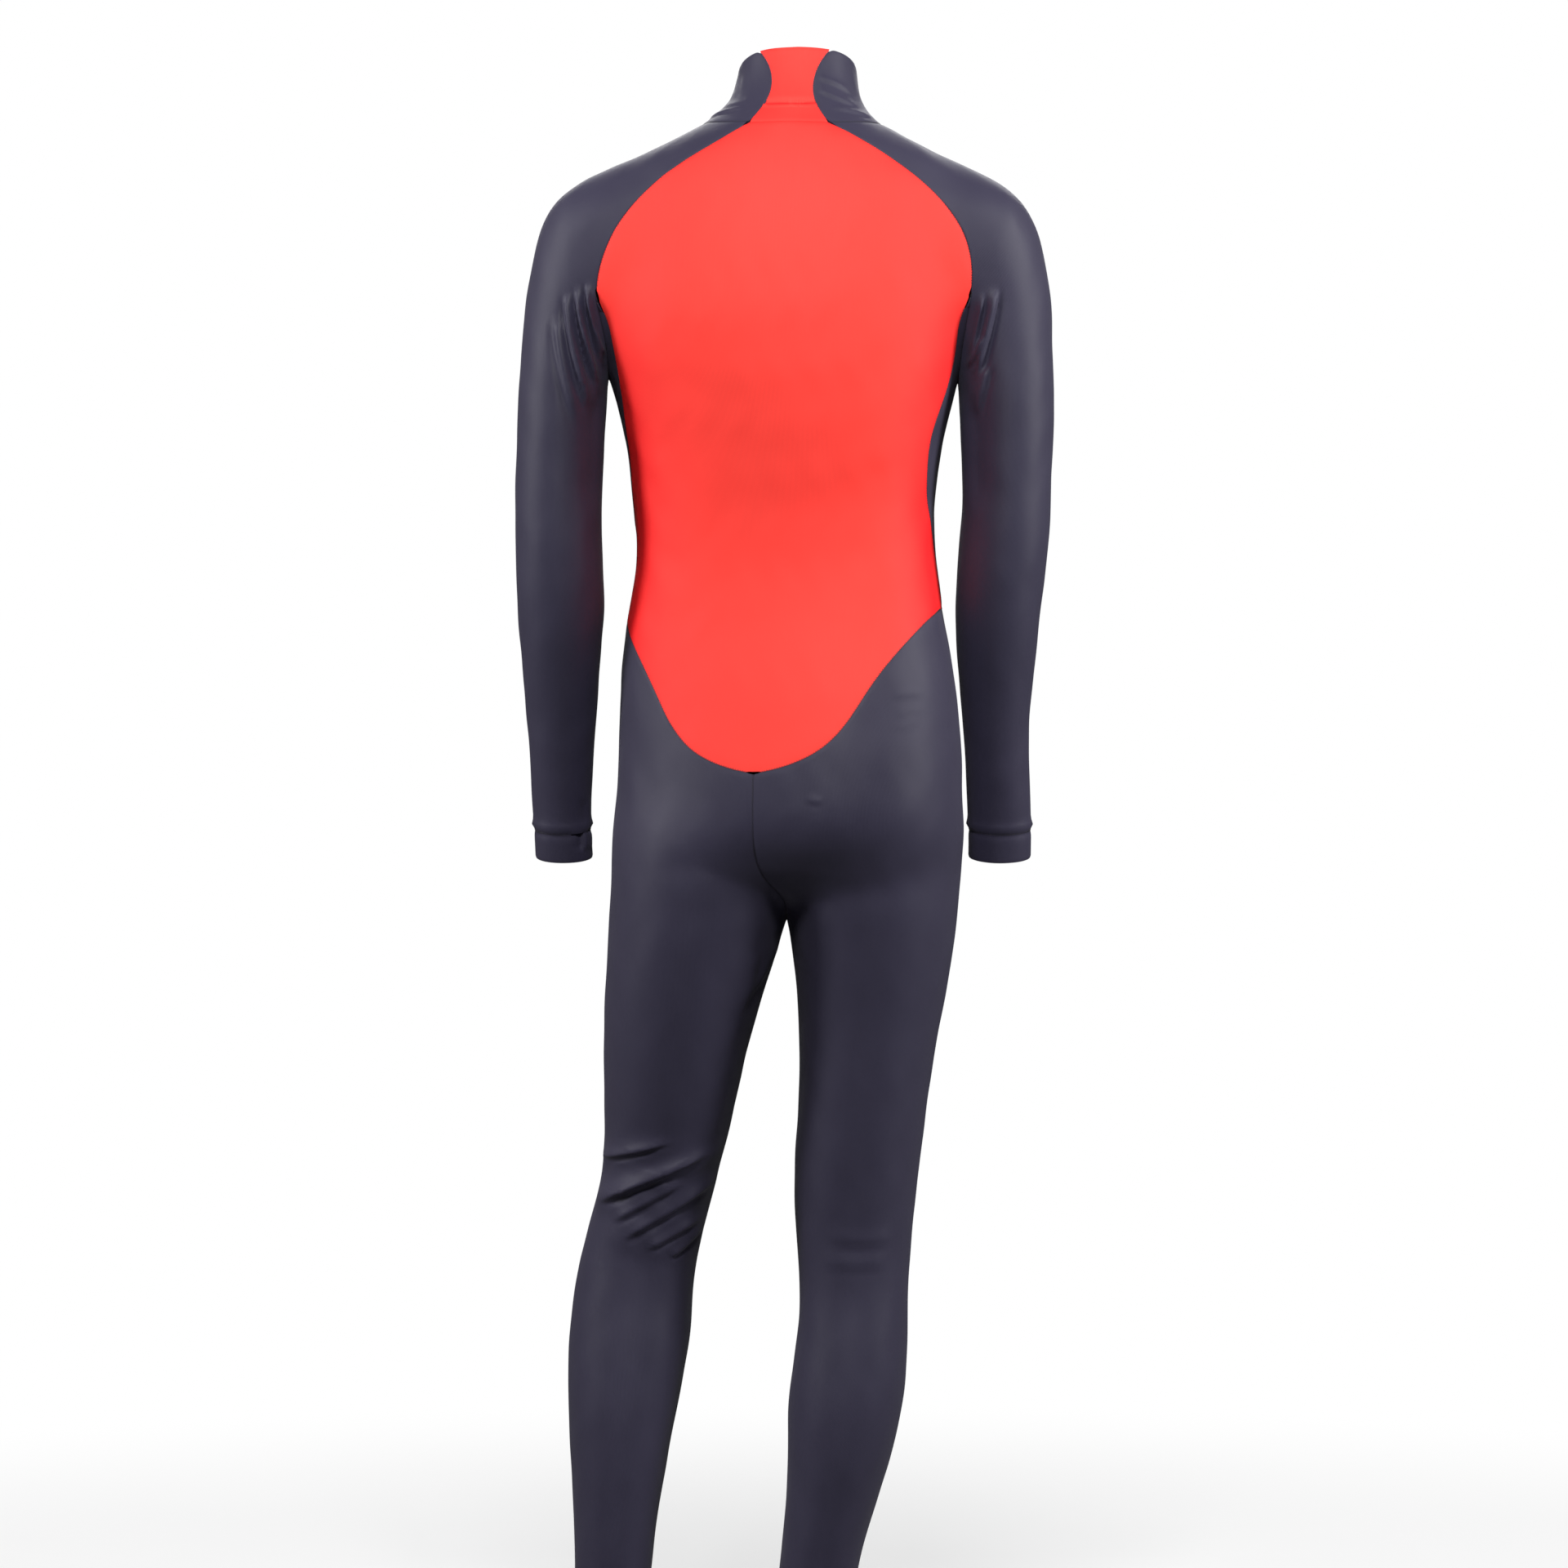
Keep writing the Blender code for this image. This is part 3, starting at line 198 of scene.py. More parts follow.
# Dip past the sharp flank: depth, distance for each step of sharpness, least distance, width
DIP, DIP_PER_SHARP, DIP_AWAY, DIP_WIDTH = 0.45, 1.2, 0.35, 0.5
# A crease fades between these shares of facing its side
FACING_FROM, FACING_TO = -0.1, 0.25

# Soft unevenness all over: its height, and the waves that make it up
SWELL = 0.00035
# share, radians a metre along x, y and z, how far a second wave bends it, that wave's radians
# a metre along x, y and z, its phase
SWELL_WAVES = (
    (1.0, (180.0, 0.0, 0.0), 1.7, (0.0, 0.0, 68.3), 0.8),
    (1.0, (20.0, 0.0, 105.0), 2.1, (0.0, 105.7, 0.0), 2.0),
    (0.6, (0.0, 200.0, 32.3), 1.3, (24.4, 0.0, 0.0), 0.0),
)

# How far a sleeve swells over its cuff's seam, how far from the seam, how far the cuff draws in,
# and how many times that distance the swell still counts
CUFF_SWELL = 0.0017
CUFF_REACH = 0.0042
CUFF_DRAW = 0.0009
CUFF_FAR = 8

# Thread: pitch and width of its zigzag, radius, how far it stands off the cloth, sides of its section
STITCH = (0.0024, 0.0018, 0.00022, 0.00010)
HEM_STITCH = (0.0030, 0.0026, 0.00018, 0.00010)
THREAD_SIDES = 4
# Rows of stitching inside an open edge: panel, height of the row
HEM_ROWS = (
    ("leg_left", -1.460),
    ("leg_right", -1.460),
)
# Zip: pitch of the teeth, size of a tooth across, out and along, how far each side's teeth stand
# off the middle, how far they stand out, where they start and end, and the widest gap between tapes
ZIP_TEETH = (0.0014, 0.0026, 0.0008, 0.0008, 0.0006)
TOOTH_LIFT = 0.0002
TOOTH_GRID = (3, 3, 2)
ZIP_TOP = 0.034
ZIP_BOTTOM = -0.488
ZIP_GAP = 0.0012

# The photograph's view
CAMERA_PLACE = (0.0023, 4.0, -0.6156)
CAMERA_LENS = 98.7
SENSOR = 36
FLOOR_HEIGHT = -1.56
FLOOR_HALF = 30

# Light: how bright the white surround shines on the suit, and soft lamps, each with its place,
# target, size and power
SURROUND = 0.06
LIGHTS = (
    ("key", (0.0, 2.5, 1.4), (0.0, 0.0, -0.3), (0.7, 0.5), 86.0),
    ("left side", (2.0, 0.5, 0.4), (0.2, 0.0, -0.5), (0.4, 1.6), 42.0),
    ("right side", (-2.0, 0.6, 0.4), (-0.2, 0.0, -0.5), (0.4, 1.6), 54.0),
    ("front", (0.0, -3.2, 1.6), (0.0, 0.0, -0.5), (2.5, 2.0), 70.0),
)
# The floor is plain near the suit and fades into the white surround between these distances
FLOOR_FADE = (0.6, 2.6)

# Knit, in metres and shares: width of a rib, height of a row, how far ribs wander, how rows slant,
# how steep and how full a rib is, shares of rib and row in the relief, how dark the painted shade in the
# gaps between the ribs is
WALE, COURSE = 0.0009, 0.0007
WANDER_SCALE, WANDER = 260.0, 0.35
ROW_SLANT = 0.9
RIB_STEEP, RIB_FULL, RIB_ROUND = 2.6, 0.9, 0.3
RIB_SHARE, ROW_SHARE = 0.65, 1.1
PAINTED_GAP_SHADE = 0.22
KNIT_DEPTH = 0.00012
# Jersey: light tone, dark tone, tone painted where it turns away from the eye (painted sheen on the grey,
# painted shade on the red), where that starts and its strength, roughness, sheen
JERSEYS = {
    "red jersey": (
        (1.0, 0.052, 0.037), (1.0, 0.045, 0.032), (1.0, 0.012, 0.015), (0.03, 1.7), 0.62, 0.0
    ),
    "grey jersey": (
        (0.036, 0.032, 0.060), (0.030, 0.027, 0.050), (0.048, 0.043, 0.074), (0.1, 0.9), 0.52, 0.03
    ),
}
# Thread: light tone, dark tone
THREADS = {
    "red thread": ((0.42, 0.020, 0.012), (0.34, 0.016, 0.010)),
    "grey thread": ((0.018, 0.016, 0.020), (0.013, 0.012, 0.015)),
}
# Zip tape: light tone, dark tone, pitch of its slant along and across, pitch of its weft, depth
TAPE_TONES = ((0.030, 0.028, 0.034), (0.017, 0.016, 0.020))
TAPE_PITCH = (0.0008, 0.0011, 0.0006)
TAPE_DEPTH = 0.0003
# Dye: scales of broad and fine unevenness, their shares, and the range that spreads to full
DYE_BROAD, DYE_FINE = 9.0, 420.0
DYE_SHARES = (0.7, 0.3)
DYE_RANGE = (0.3, 0.7)
# Dark metal: full tone, worn tone, scale of its grain, where wear starts and is full, depth
METAL_TONES = ((0.035, 0.034, 0.037), (0.11, 0.11, 0.115))
METAL_GRAIN = 900.0
METAL_WEAR = (0.45, 0.75)
METAL_DEPTH = 0.00005
# Floor: its two tones, and the tone that the suit sees, dark so that little light comes up the legs
FLOOR_TONES = ((0.80, 0.80, 0.80), (0.84, 0.84, 0.84))
FLOOR_BELOW = (0.15, 0.15, 0.15)


def outer_face(node):
    """The outer face of a panel's wall, as an open mesh of mostly four-sided faces."""
    shell = bmesh.new()
    shell.from_mesh(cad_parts[node].data)
    bmesh.ops.remove_doubles(shell, verts=shell.verts, dist=SAME_POINT)
    rim = [f for f in shell.faces if any(abs(e.calc_length() - CLOTH) < EDGE_SLACK for e in f.edges)]
    bmesh.ops.delete(shell, geom=rim, context="FACES")
    waiting = set(shell.faces)
    layers = []
    while waiting:
        layer, front = set(), [waiting.pop()]
        while front:
            face = front.pop()
            layer.add(face)
            for edge in face.edges:
                front += [near for near in edge.link_faces if near in waiting]
                waiting.difference_update(edge.link_faces)
        layers.append(layer)
    layers.sort(key=lambda layer: sum(f.calc_area() for f in layer))
    inner = [f for layer in layers[:-1] for f in layer]
    bmesh.ops.delete(shell, geom=inner, context="FACES")
    bmesh.ops.join_triangles(
        shell,
        faces=shell.faces,
        angle_face_threshold=ANY_ANGLE,
        angle_shape_threshold=ANY_ANGLE,
    )
    if node in TUBES:
        mark_inseam(shell)
    mesh = bpy.data.meshes.new(node + "_cloth")
    shell.to_mesh(mesh)
    shell.free()
    made = bpy.data.objects.new(node + "_cloth", mesh)
    bpy.context.scene.collection.objects.link(made)
    return made


def mark_inseam(shell):
    """Marks the line down the inside of a sleeve or leg, where its flat cut ends."""
    ends = [v for v in shell.verts if v.is_boundary]
    middle = (max(v.co.z for v in ends) + min(v.co.z for v in ends)) / 2
    here = min((v for v in ends if v.co.z > middle), key=lambda v: v.co.z)
    while True:
        lower = here.co.z - INSEAM_STEP
        below = [e for e in here.link_edges if e.other_vert(here).co.z < lower]
        if not below:
            return
        edge = min(below, key=lambda e: (e.other_vert(here).co.z - here.co.z) / e.calc_length())
        edge.seam = True
        here = edge.other_vert(here)


def lay_flat(piece):
    """Unwraps a panel into its flat cut, with UVs in metres and the garment's length along V.

    Gives the flat width and length, and the worn area.
    """
    bpy.ops.object.select_all(action="DESELECT")
    bpy.context.view_layer.objects.active = piece
    piece.select_set(True)
    bpy.ops.object.mode_set(mode="EDIT")
    bpy.ops.mesh.select_all(action="SELECT")
    bpy.ops.uv.unwrap(method="ANGLE_BASED", margin=0.0)
    bpy.ops.object.mode_set(mode="OBJECT")
    mesh = piece.data
    mesh.calc_loop_triangles()
    layer = mesh.uv_layers.active
    uv = np.zeros(len(mesh.loops) * 2)
    layer.data.foreach_get("uv", uv)
    uv = uv.reshape(-1, 2)
    corners = np.array([t.loops for t in mesh.loop_triangles])
    a, b, c = (uv[corners[:, k]] for k in range(3))
    flat_area = np.abs(np.cross(b - a, c - a)).sum() / 2
    worn_area = sum(t.area for t in mesh.loop_triangles)
    uv *= np.sqrt(worn_area / flat_area)
    points = points_of(mesh)
    heights = points[[loop.vertex_index for loop in mesh.loops], 2]
    slope = np.linalg.lstsq(np.column_stack([uv, np.ones(len(uv))]), heights, rcond=None)[0][:2]
    up = slope / np.linalg.norm(slope)
    uv = np.column_stack([uv @ (up[1], -up[0]), uv @ up])
    layer.data.foreach_set("uv", uv.ravel())
    return tuple(uv.max(0) - uv.min(0)), worn_area


def points_of(mesh):
    """A mesh's points."""
    points = np.zeros(len(mesh.vertices) * 3)
    mesh.vertices.foreach_get("co", points)
    return points.reshape(-1, 3)


def normals_of(mesh):
    """A mesh's directions out of its surface, at its points."""
    normals = np.zeros(len(mesh.vertices) * 3, np.float32)
    mesh.vertices.foreach_get("normal", normals)
    return normals.reshape(-1, 3).astype(float)


def settle(piece):
    """Works out a piece's modifiers into its own mesh."""
    depsgraph = bpy.context.evaluated_depsgraph_get()
    mesh = bpy.data.meshes.new_from_object(piece.evaluated_get(depsgraph))
    piece.modifiers.clear()
    piece.data = mesh
    mesh.name = piece.name


def open_edge(mesh):
    """The pairs of points that a mesh's open edges join."""
    loops = np.zeros(len(mesh.loops), int)
    mesh.loops.foreach_get("edge_index", loops)
    uses = np.bincount(loops, minlength=len(mesh.edges))
    pairs = np.zeros(len(mesh.edges) * 2, int)
    mesh.edges.foreach_get("vertices", pairs)
    return pairs.reshape(-1, 2)[uses == 1]


def smoothly(value, start, end):
    """0 before start, 1 after end, and smooth between them."""
    share = np.clip((value - start) / (end - start), 0, 1)
    return share * share * (3 - 2 * share)


def bell(distance):
    """1 at no distance, falling softly to 0 on both sides."""
    return np.exp(-(distance**2))


def crease_height(node, points, normals):
    """How far each point of a panel stands out because of its creases."""
    height = np.zeros(len(points))
    for name, facing, x0, z0, x1, z1, x2, z2, half_width, rise, fall in CREASES:
        if name != node:
            continue
        t = np.linspace(0, 1, CREASE_STEPS)[:, None]
        start, bend, end = (np.array(p) for p in ((x0, z0), (x1, z1), (x2, z2)))
        line = (1 - t) ** 2 * start + 2 * t * (1 - t) * bend + t * t * end
        seen = np.nonzero(facing * normals[:, 1] > FACING_FROM)[0]
        flat = points[seen][:, (0, 2)]
        reach = CREASE_REACH * half_width
        near = np.all((flat > line.min(0) - reach) & (flat < line.max(0) + reach), axis=1)
        seen, flat = seen[near], flat[near]
        if not len(seen):
            continue
        away = flat[:, None] - line[None]
        nearest = (away**2).sum(-1).argmin(1)
        run = np.gradient(line, axis=0)
        run /= np.linalg.norm(run, axis=1, keepdims=True)
        run = run[nearest]
        away = away[np.arange(len(seen)), nearest]
        # Above or outside of the line the crease runs out softly, on the other side it falls sharply
        side = (away[:, 1] * run[:, 0] - away[:, 0] * run[:, 1]) * np.sign(end[0] - start[0] or 1)
        beyond = np.abs((away * run).sum(1))
        place = t[nearest, 0]
        along = smoothly(place, 0, CREASE_START) * smoothly(1 - place, 0, CREASE_END)
        across = side / half_width
        soft = NEAR_SLOPE * bell(across) + WIDE_SLOPE * bell(across / WIDE_WIDTH)
        dip = bell((across + DIP_PER_SHARP * fall + DIP_AWAY) / DIP_WIDTH)
        profile = np.where(across > 0, soft, bell(across / fall) - DIP * dip)
        turned = smoothly(facing * normals[seen, 1], FACING_FROM, FACING_TO)
        height[seen] += rise * profile * along * turned * bell(beyond / half_width)
    return height


def swell_height(points):
    """The soft unevenness of cloth that lies on a body, from a few crossed waves."""
    height = np.zeros(len(points))
    for share, run, bend, bend_run, phase in SWELL_WAVES:
        height += share * np.sin(points @ run + bend * np.sin(points @ bend_run + phase))
    return SWELL * height / sum(row[0] for row in SWELL_WAVES)


def cuff_height(node, mesh, points):
    """How a sleeve swells where its cuff grips it, and how the cuff draws in below."""
    rim = np.unique(open_edge(mesh))
    heights = points[rim, 2]
    split = (heights.max() + heights.min()) / 2
    sewn = rim[heights < split] if node.startswith("sleeve") else rim[heights > split]
    tree = KDTree(len(sewn))
    for i in sewn:
        tree.insert(points[i], i)
    tree.balance()
    near = np.nonzero(np.abs(points[:, 2] - points[sewn, 2].mean()) < CUFF_FAR * CUFF_REACH)[0]
    away = np.array([tree.find(points[i])[2] for i in near])
    height = np.zeros(len(points))
    if node.startswith("sleeve"):
        height[near] = CUFF_SWELL * bell((away - CUFF_REACH) / CUFF_REACH)
    else:
        height[near] = -CUFF_DRAW * bell(away / CUFF_REACH)
    return height


def shaped_panel(node):
    """A panel at full fineness with its creases, still one layer."""
    piece = outer_face(node)
    cut, worn_area = lay_flat(piece)
    smooth = piece.modifiers.new("Smooth", "SUBSURF")
    smooth.levels = smooth.render_levels = FINENESS
    smooth.boundary_smooth = "PRESERVE_CORNERS"
    settle(piece)
    mesh = piece.data
    points, normals = points_of(mesh), normals_of(mesh)
    height = crease_height(node, points, normals)
    if not node.startswith("zip"):
        height += swell_height(points)
        if node.startswith(("sleeve", "cuff")):
            height += cuff_height(node, mesh, points)
        height[np.unique(open_edge(mesh))] -= SEAM_SINK
    mesh.vertices.foreach_set("co", (points + normals * height[:, None]).ravel())
    mesh.update()
    if node in THINNED:
        thin_out(piece, THINNED[node])
    return piece, cut, worn_area


def thin_out(piece, share):
    """Merges faces where a panel is smooth, but not along its edges and its inseam."""
    mesh = piece.data
    kept = set(open_edge(mesh).ravel().tolist())
    kept.update(i for edge in mesh.edges if edge.use_seam for i in edge.vertices)
    group = piece.vertex_groups.new(name="kept")
    group.add(list(kept), 1.0, "REPLACE")
    merge = piece.modifiers.new("Thin out", "DECIMATE")
    merge.ratio = share
    merge.vertex_group = group.name
    merge.invert_vertex_group = True
    merge.vertex_group_factor = KEEP_WEIGHT
    settle(piece)
    piece.vertex_groups.clear()


def close_seams():
    """Brings the sewn edges of neighbouring panels together over the gaps between the solids."""
    edges = {}
    for node, (piece, *_) in layers.items():
        rim = np.unique(open_edge(piece.data))
        places = points_of(piece.data)[rim]
        tree = KDTree(len(rim))
        for i, place in enumerate(places):
            tree.insert(place, i)
        tree.balance()
        edges[node] = rim, places, tree
    moved = {node: places.copy() for node, (_, places, _) in edges.items()}
    for first, second, _ in SEAMS:
        at_corner = first.startswith(("collar", "front")) and second.startswith(("sleeve", "front"))
        reach = CORNER_REACH if at_corner else SEAM_REACH
        for here, there in ((first, second), (second, first)):
            places, tree = edges[here][1], edges[there][2]
            for i, place in enumerate(places):
                found, _, distance = tree.find(place)
                if 0 < distance < reach:
                    apart = place - np.array(found)
                    moved[here][i] = place - apart / 2 + apart / distance * SEAM_HAIR
    for node, (rim, _, _) in edges.items():
        mesh = layers[node][0].data
        points = points_of(mesh)
        points[rim] = moved[node]
        mesh.vertices.foreach_set("co", points.ravel())
        mesh.update()


def give_thickness(piece):
    """The wall of the cloth, laid inwards from its outer face."""
    wall = piece.modifiers.new("Cloth", "SOLIDIFY")
    wall.thickness = CLOTH
    wall.offset = -1
    settle(piece)
    piece.data.shade_smooth()
    piece.data.set_sharp_from_angle(angle=SHARP_ANGLE)


def seam_line(name, panel, other):
    """One panel's edge where it lies at another panel, as a line with the direction out of the cloth."""
    mesh, beside = panel.data, other.data
    points, normals = points_of(mesh), normals_of(mesh)
    far_points = points_of(beside)
    tree = KDTree(len(far_points))
    for i in np.unique(open_edge(beside)):
        tree.insert(far_points[i], i)
    tree.balance()
    pairs = open_edge(mesh)
    used = {i: tree.find(points[i]) for i in np.unique(pairs)}
    used = {i: hit for i, hit in used.items() if hit[2] < SEAM_REACH}
    keep = [(a, b) for a, b in pairs if a in used and b in used]
    index = {old: new for new, old in enumerate(sorted({i for pair in keep for i in pair}))}
    between = [(np.array(used[i][0]) + points[i]) / 2 for i in index]
    out = [normals[i] for i in index]
    return line_mesh(name, between, [(index[a], index[b]) for a, b in keep], out)


def ring_line(name, panel, height):
    """A level ring round a panel, as a line mesh with the direction out of the cloth."""
    cut = bmesh.new()
    cut.from_mesh(panel.data)
    geometry = cut.verts[:] + cut.edges[:] + cut.faces[:]
    found = bmesh.ops.bisect_plane(
        cut, geom=geometry, dist=1e-7, plane_co=(0, 0, height), plane_no=(0, 0, 1)
    )["geom_cut"]
    points = [g for g in found if isinstance(g, bmesh.types.BMVert)]
    edges = [g for g in found if isinstance(g, bmesh.types.BMEdge)]
    cut.normal_update()
    index = {v: i for i, v in enumerate(points)}
    places = [tuple(v.co) for v in points]
    out = [tuple(v.normal) for v in points]
    pairs = [tuple(index[v] for v in e.verts) for e in edges]
    cut.free()
    return line_mesh(name, places, pairs, out)


def middle_line(name, top, bottom):
    """The line where the two halves of the zip meet, down the middle of the front."""
    sides = [layers[node][0].data for node in ("zip_tape_left", "zip_tape_right")]
    points, normals = (np.vstack([read(mesh) for mesh in sides]) for read in (points_of, normals_of))
    offsets = np.cumsum([0] + [len(mesh.vertices) for mesh in sides])
    rims = [np.unique(open_edge(mesh)) + first for mesh, first in zip(sides, offsets)]
    rim = np.concatenate(rims)
    tree = KDTree(len(rim))
    for i in rim:
        tree.insert(points[i], i)
    tree.balance()
    pairs = []
    for i in rims[0]:
        near = [j for _, j, _ in tree.find_range(points[i], ZIP_GAP) if j >= offsets[1]]
        if near:
            pairs.append(((points[i] + points[near[0]]) / 2, normals[i]))
    pairs = sorted(((p, n) for p, n in pairs if bottom < p[2] < top), key=lambda pair: -pair[0][2])
    order = [(i, i + 1) for i in range(len(pairs) - 1)]
    return line_mesh(name, [p for p, _ in pairs], order, [n for _, n in pairs])


def line_mesh(name, points, pairs, out):
    """A line in space that carries the direction out of the cloth as an attribute."""
    mesh = bpy.data.meshes.new(name)
    mesh.from_pydata([tuple(map(float, p)) for p in points], [(int(a), int(b)) for a, b in pairs], [])
    facing = mesh.attributes.new("facing", "FLOAT_VECTOR", "POINT")
    facing.data.foreach_set("vector", np.array(out, float).ravel())
    made = bpy.data.objects.new(name, mesh)
    bpy.context.scene.collection.objects.link(made)
    return made


def node_tree_inputs(tree, inputs):
    """Names a Geometry Nodes tree's inputs and its output."""
    tree.interface.new_socket("Geometry", in_out="INPUT", socket_type="NodeSocketGeometry")
    for name, kind in inputs:
        tree.interface.new_socket(name, in_out="INPUT", socket_type=kind)
    tree.interface.new_socket("Geometry", in_out="OUTPUT", socket_type="NodeSocketGeometry")


class Nodes:
    """Short hands for placing and linking nodes in a tree."""

    def __init__(self, tree):
        self.tree = tree

    def add(self, kind, values=(), **settings):
        node = self.tree.nodes.new(kind)
        for key, value in settings.items():
            setattr(node, key, value)
        for socket, value in dict(values).items():
            if isinstance(value, bpy.types.NodeSocket):
                self.tree.links.new(value, node.inputs[socket])
            else:
                node.inputs[socket].default_value = value
        return node

    def math(self, operation, first, second=0.0, third=None):
        values = {0: first, 1: second}
        if third is not None:
            values[2] = third
        return self.add("ShaderNodeMath", values, operation=operation).outputs[0]

    def vector(self, operation, first, second=(0.0, 0.0, 0.0), scale=None):
        values = {0: first, 1: second}
        node = self.add("ShaderNodeVectorMath", values, operation=operation)
        if scale is not None:
            if isinstance(scale, bpy.types.NodeSocket):
                self.tree.links.new(scale, node.inputs["Scale"])
            else:
                node.inputs["Scale"].default_value = scale
        return node.outputs["Value"] if operation in ("DOT_PRODUCT", "LENGTH") else node.outputs[0]


def by_turns(at, given, step, apart):
    """Geometry Nodes: points along a line, moved to its two sides by turns and out of the cloth.

    Gives the moved points, the direction across the line and the one out of the cloth.
    """
    curve = at.add("GeometryNodeMeshToCurve", {0: given["Geometry"]}).outputs[0]
    facing = at.add("GeometryNodeInputNamedAttribute", {"Name": "facing"}, data_type="FLOAT_VECTOR")
    kept = at.add("GeometryNodeCaptureAttribute", {0: curve})
    kept.capture_items.new("VECTOR", "out")
    at.tree.links.new(facing.outputs[0], kept.inputs[1])
    line, out = kept.outputs[0], kept.outputs[1]
    points = at.add("GeometryNodeResampleCurve", {"Curve": line, "Length": step}, mode="LENGTH")
    tangent = at.add("GeometryNodeInputTangent").outputs[0]
    across = at.vector("NORMALIZE", at.vector("CROSS_PRODUCT", tangent, out))
    turn = at.math("FLOORED_MODULO", at.add("GeometryNodeInputIndex").outputs[0], 2.0)
    swing = at.math("MULTIPLY", at.math("SUBTRACT", turn, 0.5), apart)
    sideways = at.vector("SCALE", across, scale=swing)
    outwards = at.vector("SCALE", out, scale=given["Lift"])
    offset = at.vector("ADD", sideways, outwards)
    moved = at.add("GeometryNodeSetPosition", {"Geometry": points.outputs[0], "Offset": offset})
    return moved.outputs[0], across, out


def zigzag_tree():
    """Geometry Nodes: a sewn thread that runs to and fro across a line."""
    tree = bpy.data.node_groups.new("Zigzag thread", "GeometryNodeTree")
    node_tree_inputs(
        tree,
        [
            ("Pitch", "NodeSocketFloat"),
            ("Width", "NodeSocketFloat"),
            ("Radius", "NodeSocketFloat"),
            ("Lift", "NodeSocketFloat"),
            ("Thread", "NodeSocketMaterial"),
        ],
    )
    at = Nodes(tree)
    given = at.add("NodeGroupInput").outputs
    # Half a pitch between a point on one side and the next on the other
    step = at.math("MULTIPLY", given["Pitch"], 0.5)
    moved, _, _ = by_turns(at, given, step, given["Width"])
    profile = at.add(
        "GeometryNodeCurvePrimitiveCircle", {"Resolution": THREAD_SIDES, "Radius": given["Radius"]}
    )
    thread = at.add("GeometryNodeCurveToMesh", {"Curve": moved, "Profile Curve": profile.outputs[0]})
    real = at.add("GeometryNodeRealizeInstances", {0: thread.outputs[0]})
    dyed = at.add("GeometryNodeSetMaterial", {"Geometry": real.outputs[0], "Material": given["Thread"]})
    at.add("NodeGroupOutput", {0: dyed.outputs[0]})
    return tree


def teeth_tree():
    """Geometry Nodes: the coil teeth of a zip, which reach in from both sides by turns."""
    tree = bpy.data.node_groups.new("Zip teeth", "GeometryNodeTree")
    node_tree_inputs(
        tree,
        [
            ("Pitch", "NodeSocketFloat"),
            ("Size", "NodeSocketVector"),
            ("Stand off", "NodeSocketFloat"),
            ("Lift", "NodeSocketFloat"),
            ("Metal", "NodeSocketMaterial"),
        ],
    )
    at = Nodes(tree)
    given = at.add("NodeGroupInput").outputs
    moved, across, out = by_turns(at, given, given["Pitch"], given["Stand off"])
    wide, deep, tall = TOOTH_GRID
    tooth = at.add("GeometryNodeMeshCube", {"Size": given["Size"], 1: wide, 2: deep, 3: tall})
    ball = at.add("GeometryNodeSubdivisionSurface", {0: tooth.outputs[0], 1: 1, 2: 0.0})
    upright = at.add("FunctionNodeAlignRotationToVector", {"Vector": out}, axis="Y").outputs[0]
    turned = at.add(
        "FunctionNodeAlignRotationToVector",
        {"Rotation": upright, "Vector": across},
        axis="X",
        pivot_axis="Y",
    ).outputs[0]
    placed = at.add(
        "GeometryNodeInstanceOnPoints",
        {"Points": moved, "Instance": ball.outputs[0], "Rotation": turned},
    )
    real = at.add("GeometryNodeRealizeInstances", {0: placed.outputs[0]})
    dyed = at.add("GeometryNodeSetMaterial", {"Geometry": real.outputs[0], "Material": given["Metal"]})
    at.add("NodeGroupOutput", {0: dyed.outputs[0]})
    return tree


def grown(line, tree, inputs):
    """Runs a Geometry Nodes tree on a line and keeps the result as a plain mesh."""
    growth = line.modifiers.new(tree.name, "NODES")
    growth.node_group = tree
    given = [item for item in tree.interface.items_tree if item.in_out == "INPUT"]
    sockets = {item.name: item.identifier for item in given}
    for name, value in inputs.items():
        growth[sockets[name]] = value
    settle(line)
    return line


def sewn(line, tree, stitch, thread):
    """A row of stitches along a line: stitch holds its pitch, width, radius and lift."""
    values = dict(zip(("Pitch", "Width", "Radius", "Lift"), stitch))
    return grown(line, tree, {**values, "Thread": MATERIALS[thread]})


def mask_group(name, inputs, outputs):
    """An empty shader node group with its named sockets."""
    tree = bpy.data.node_groups.new(name, "ShaderNodeTree")
    for label, kind, value in inputs:
        socket = tree.interface.new_socket(label, in_out="INPUT", socket_type=kind)
        if value is not None:
            socket.default_value = value
    for label, kind in outputs:
        tree.interface.new_socket(label, in_out="OUTPUT", socket_type=kind)
    return tree


def mixed(at, share, first, second):
    """A colour between two others."""
    values = {0: share, 6: first, 7: second}
    for socket in (6, 7):
        if isinstance(values[socket], tuple):
            values[socket] = (*values[socket], 1)
    return at.add("ShaderNodeMix", values, data_type="RGBA").outputs[2]


def between(at, share, low, high):
    """A value between two others."""
    return at.add("ShaderNodeMapRange", {0: share, 3: low, 4: high}).outputs[0]


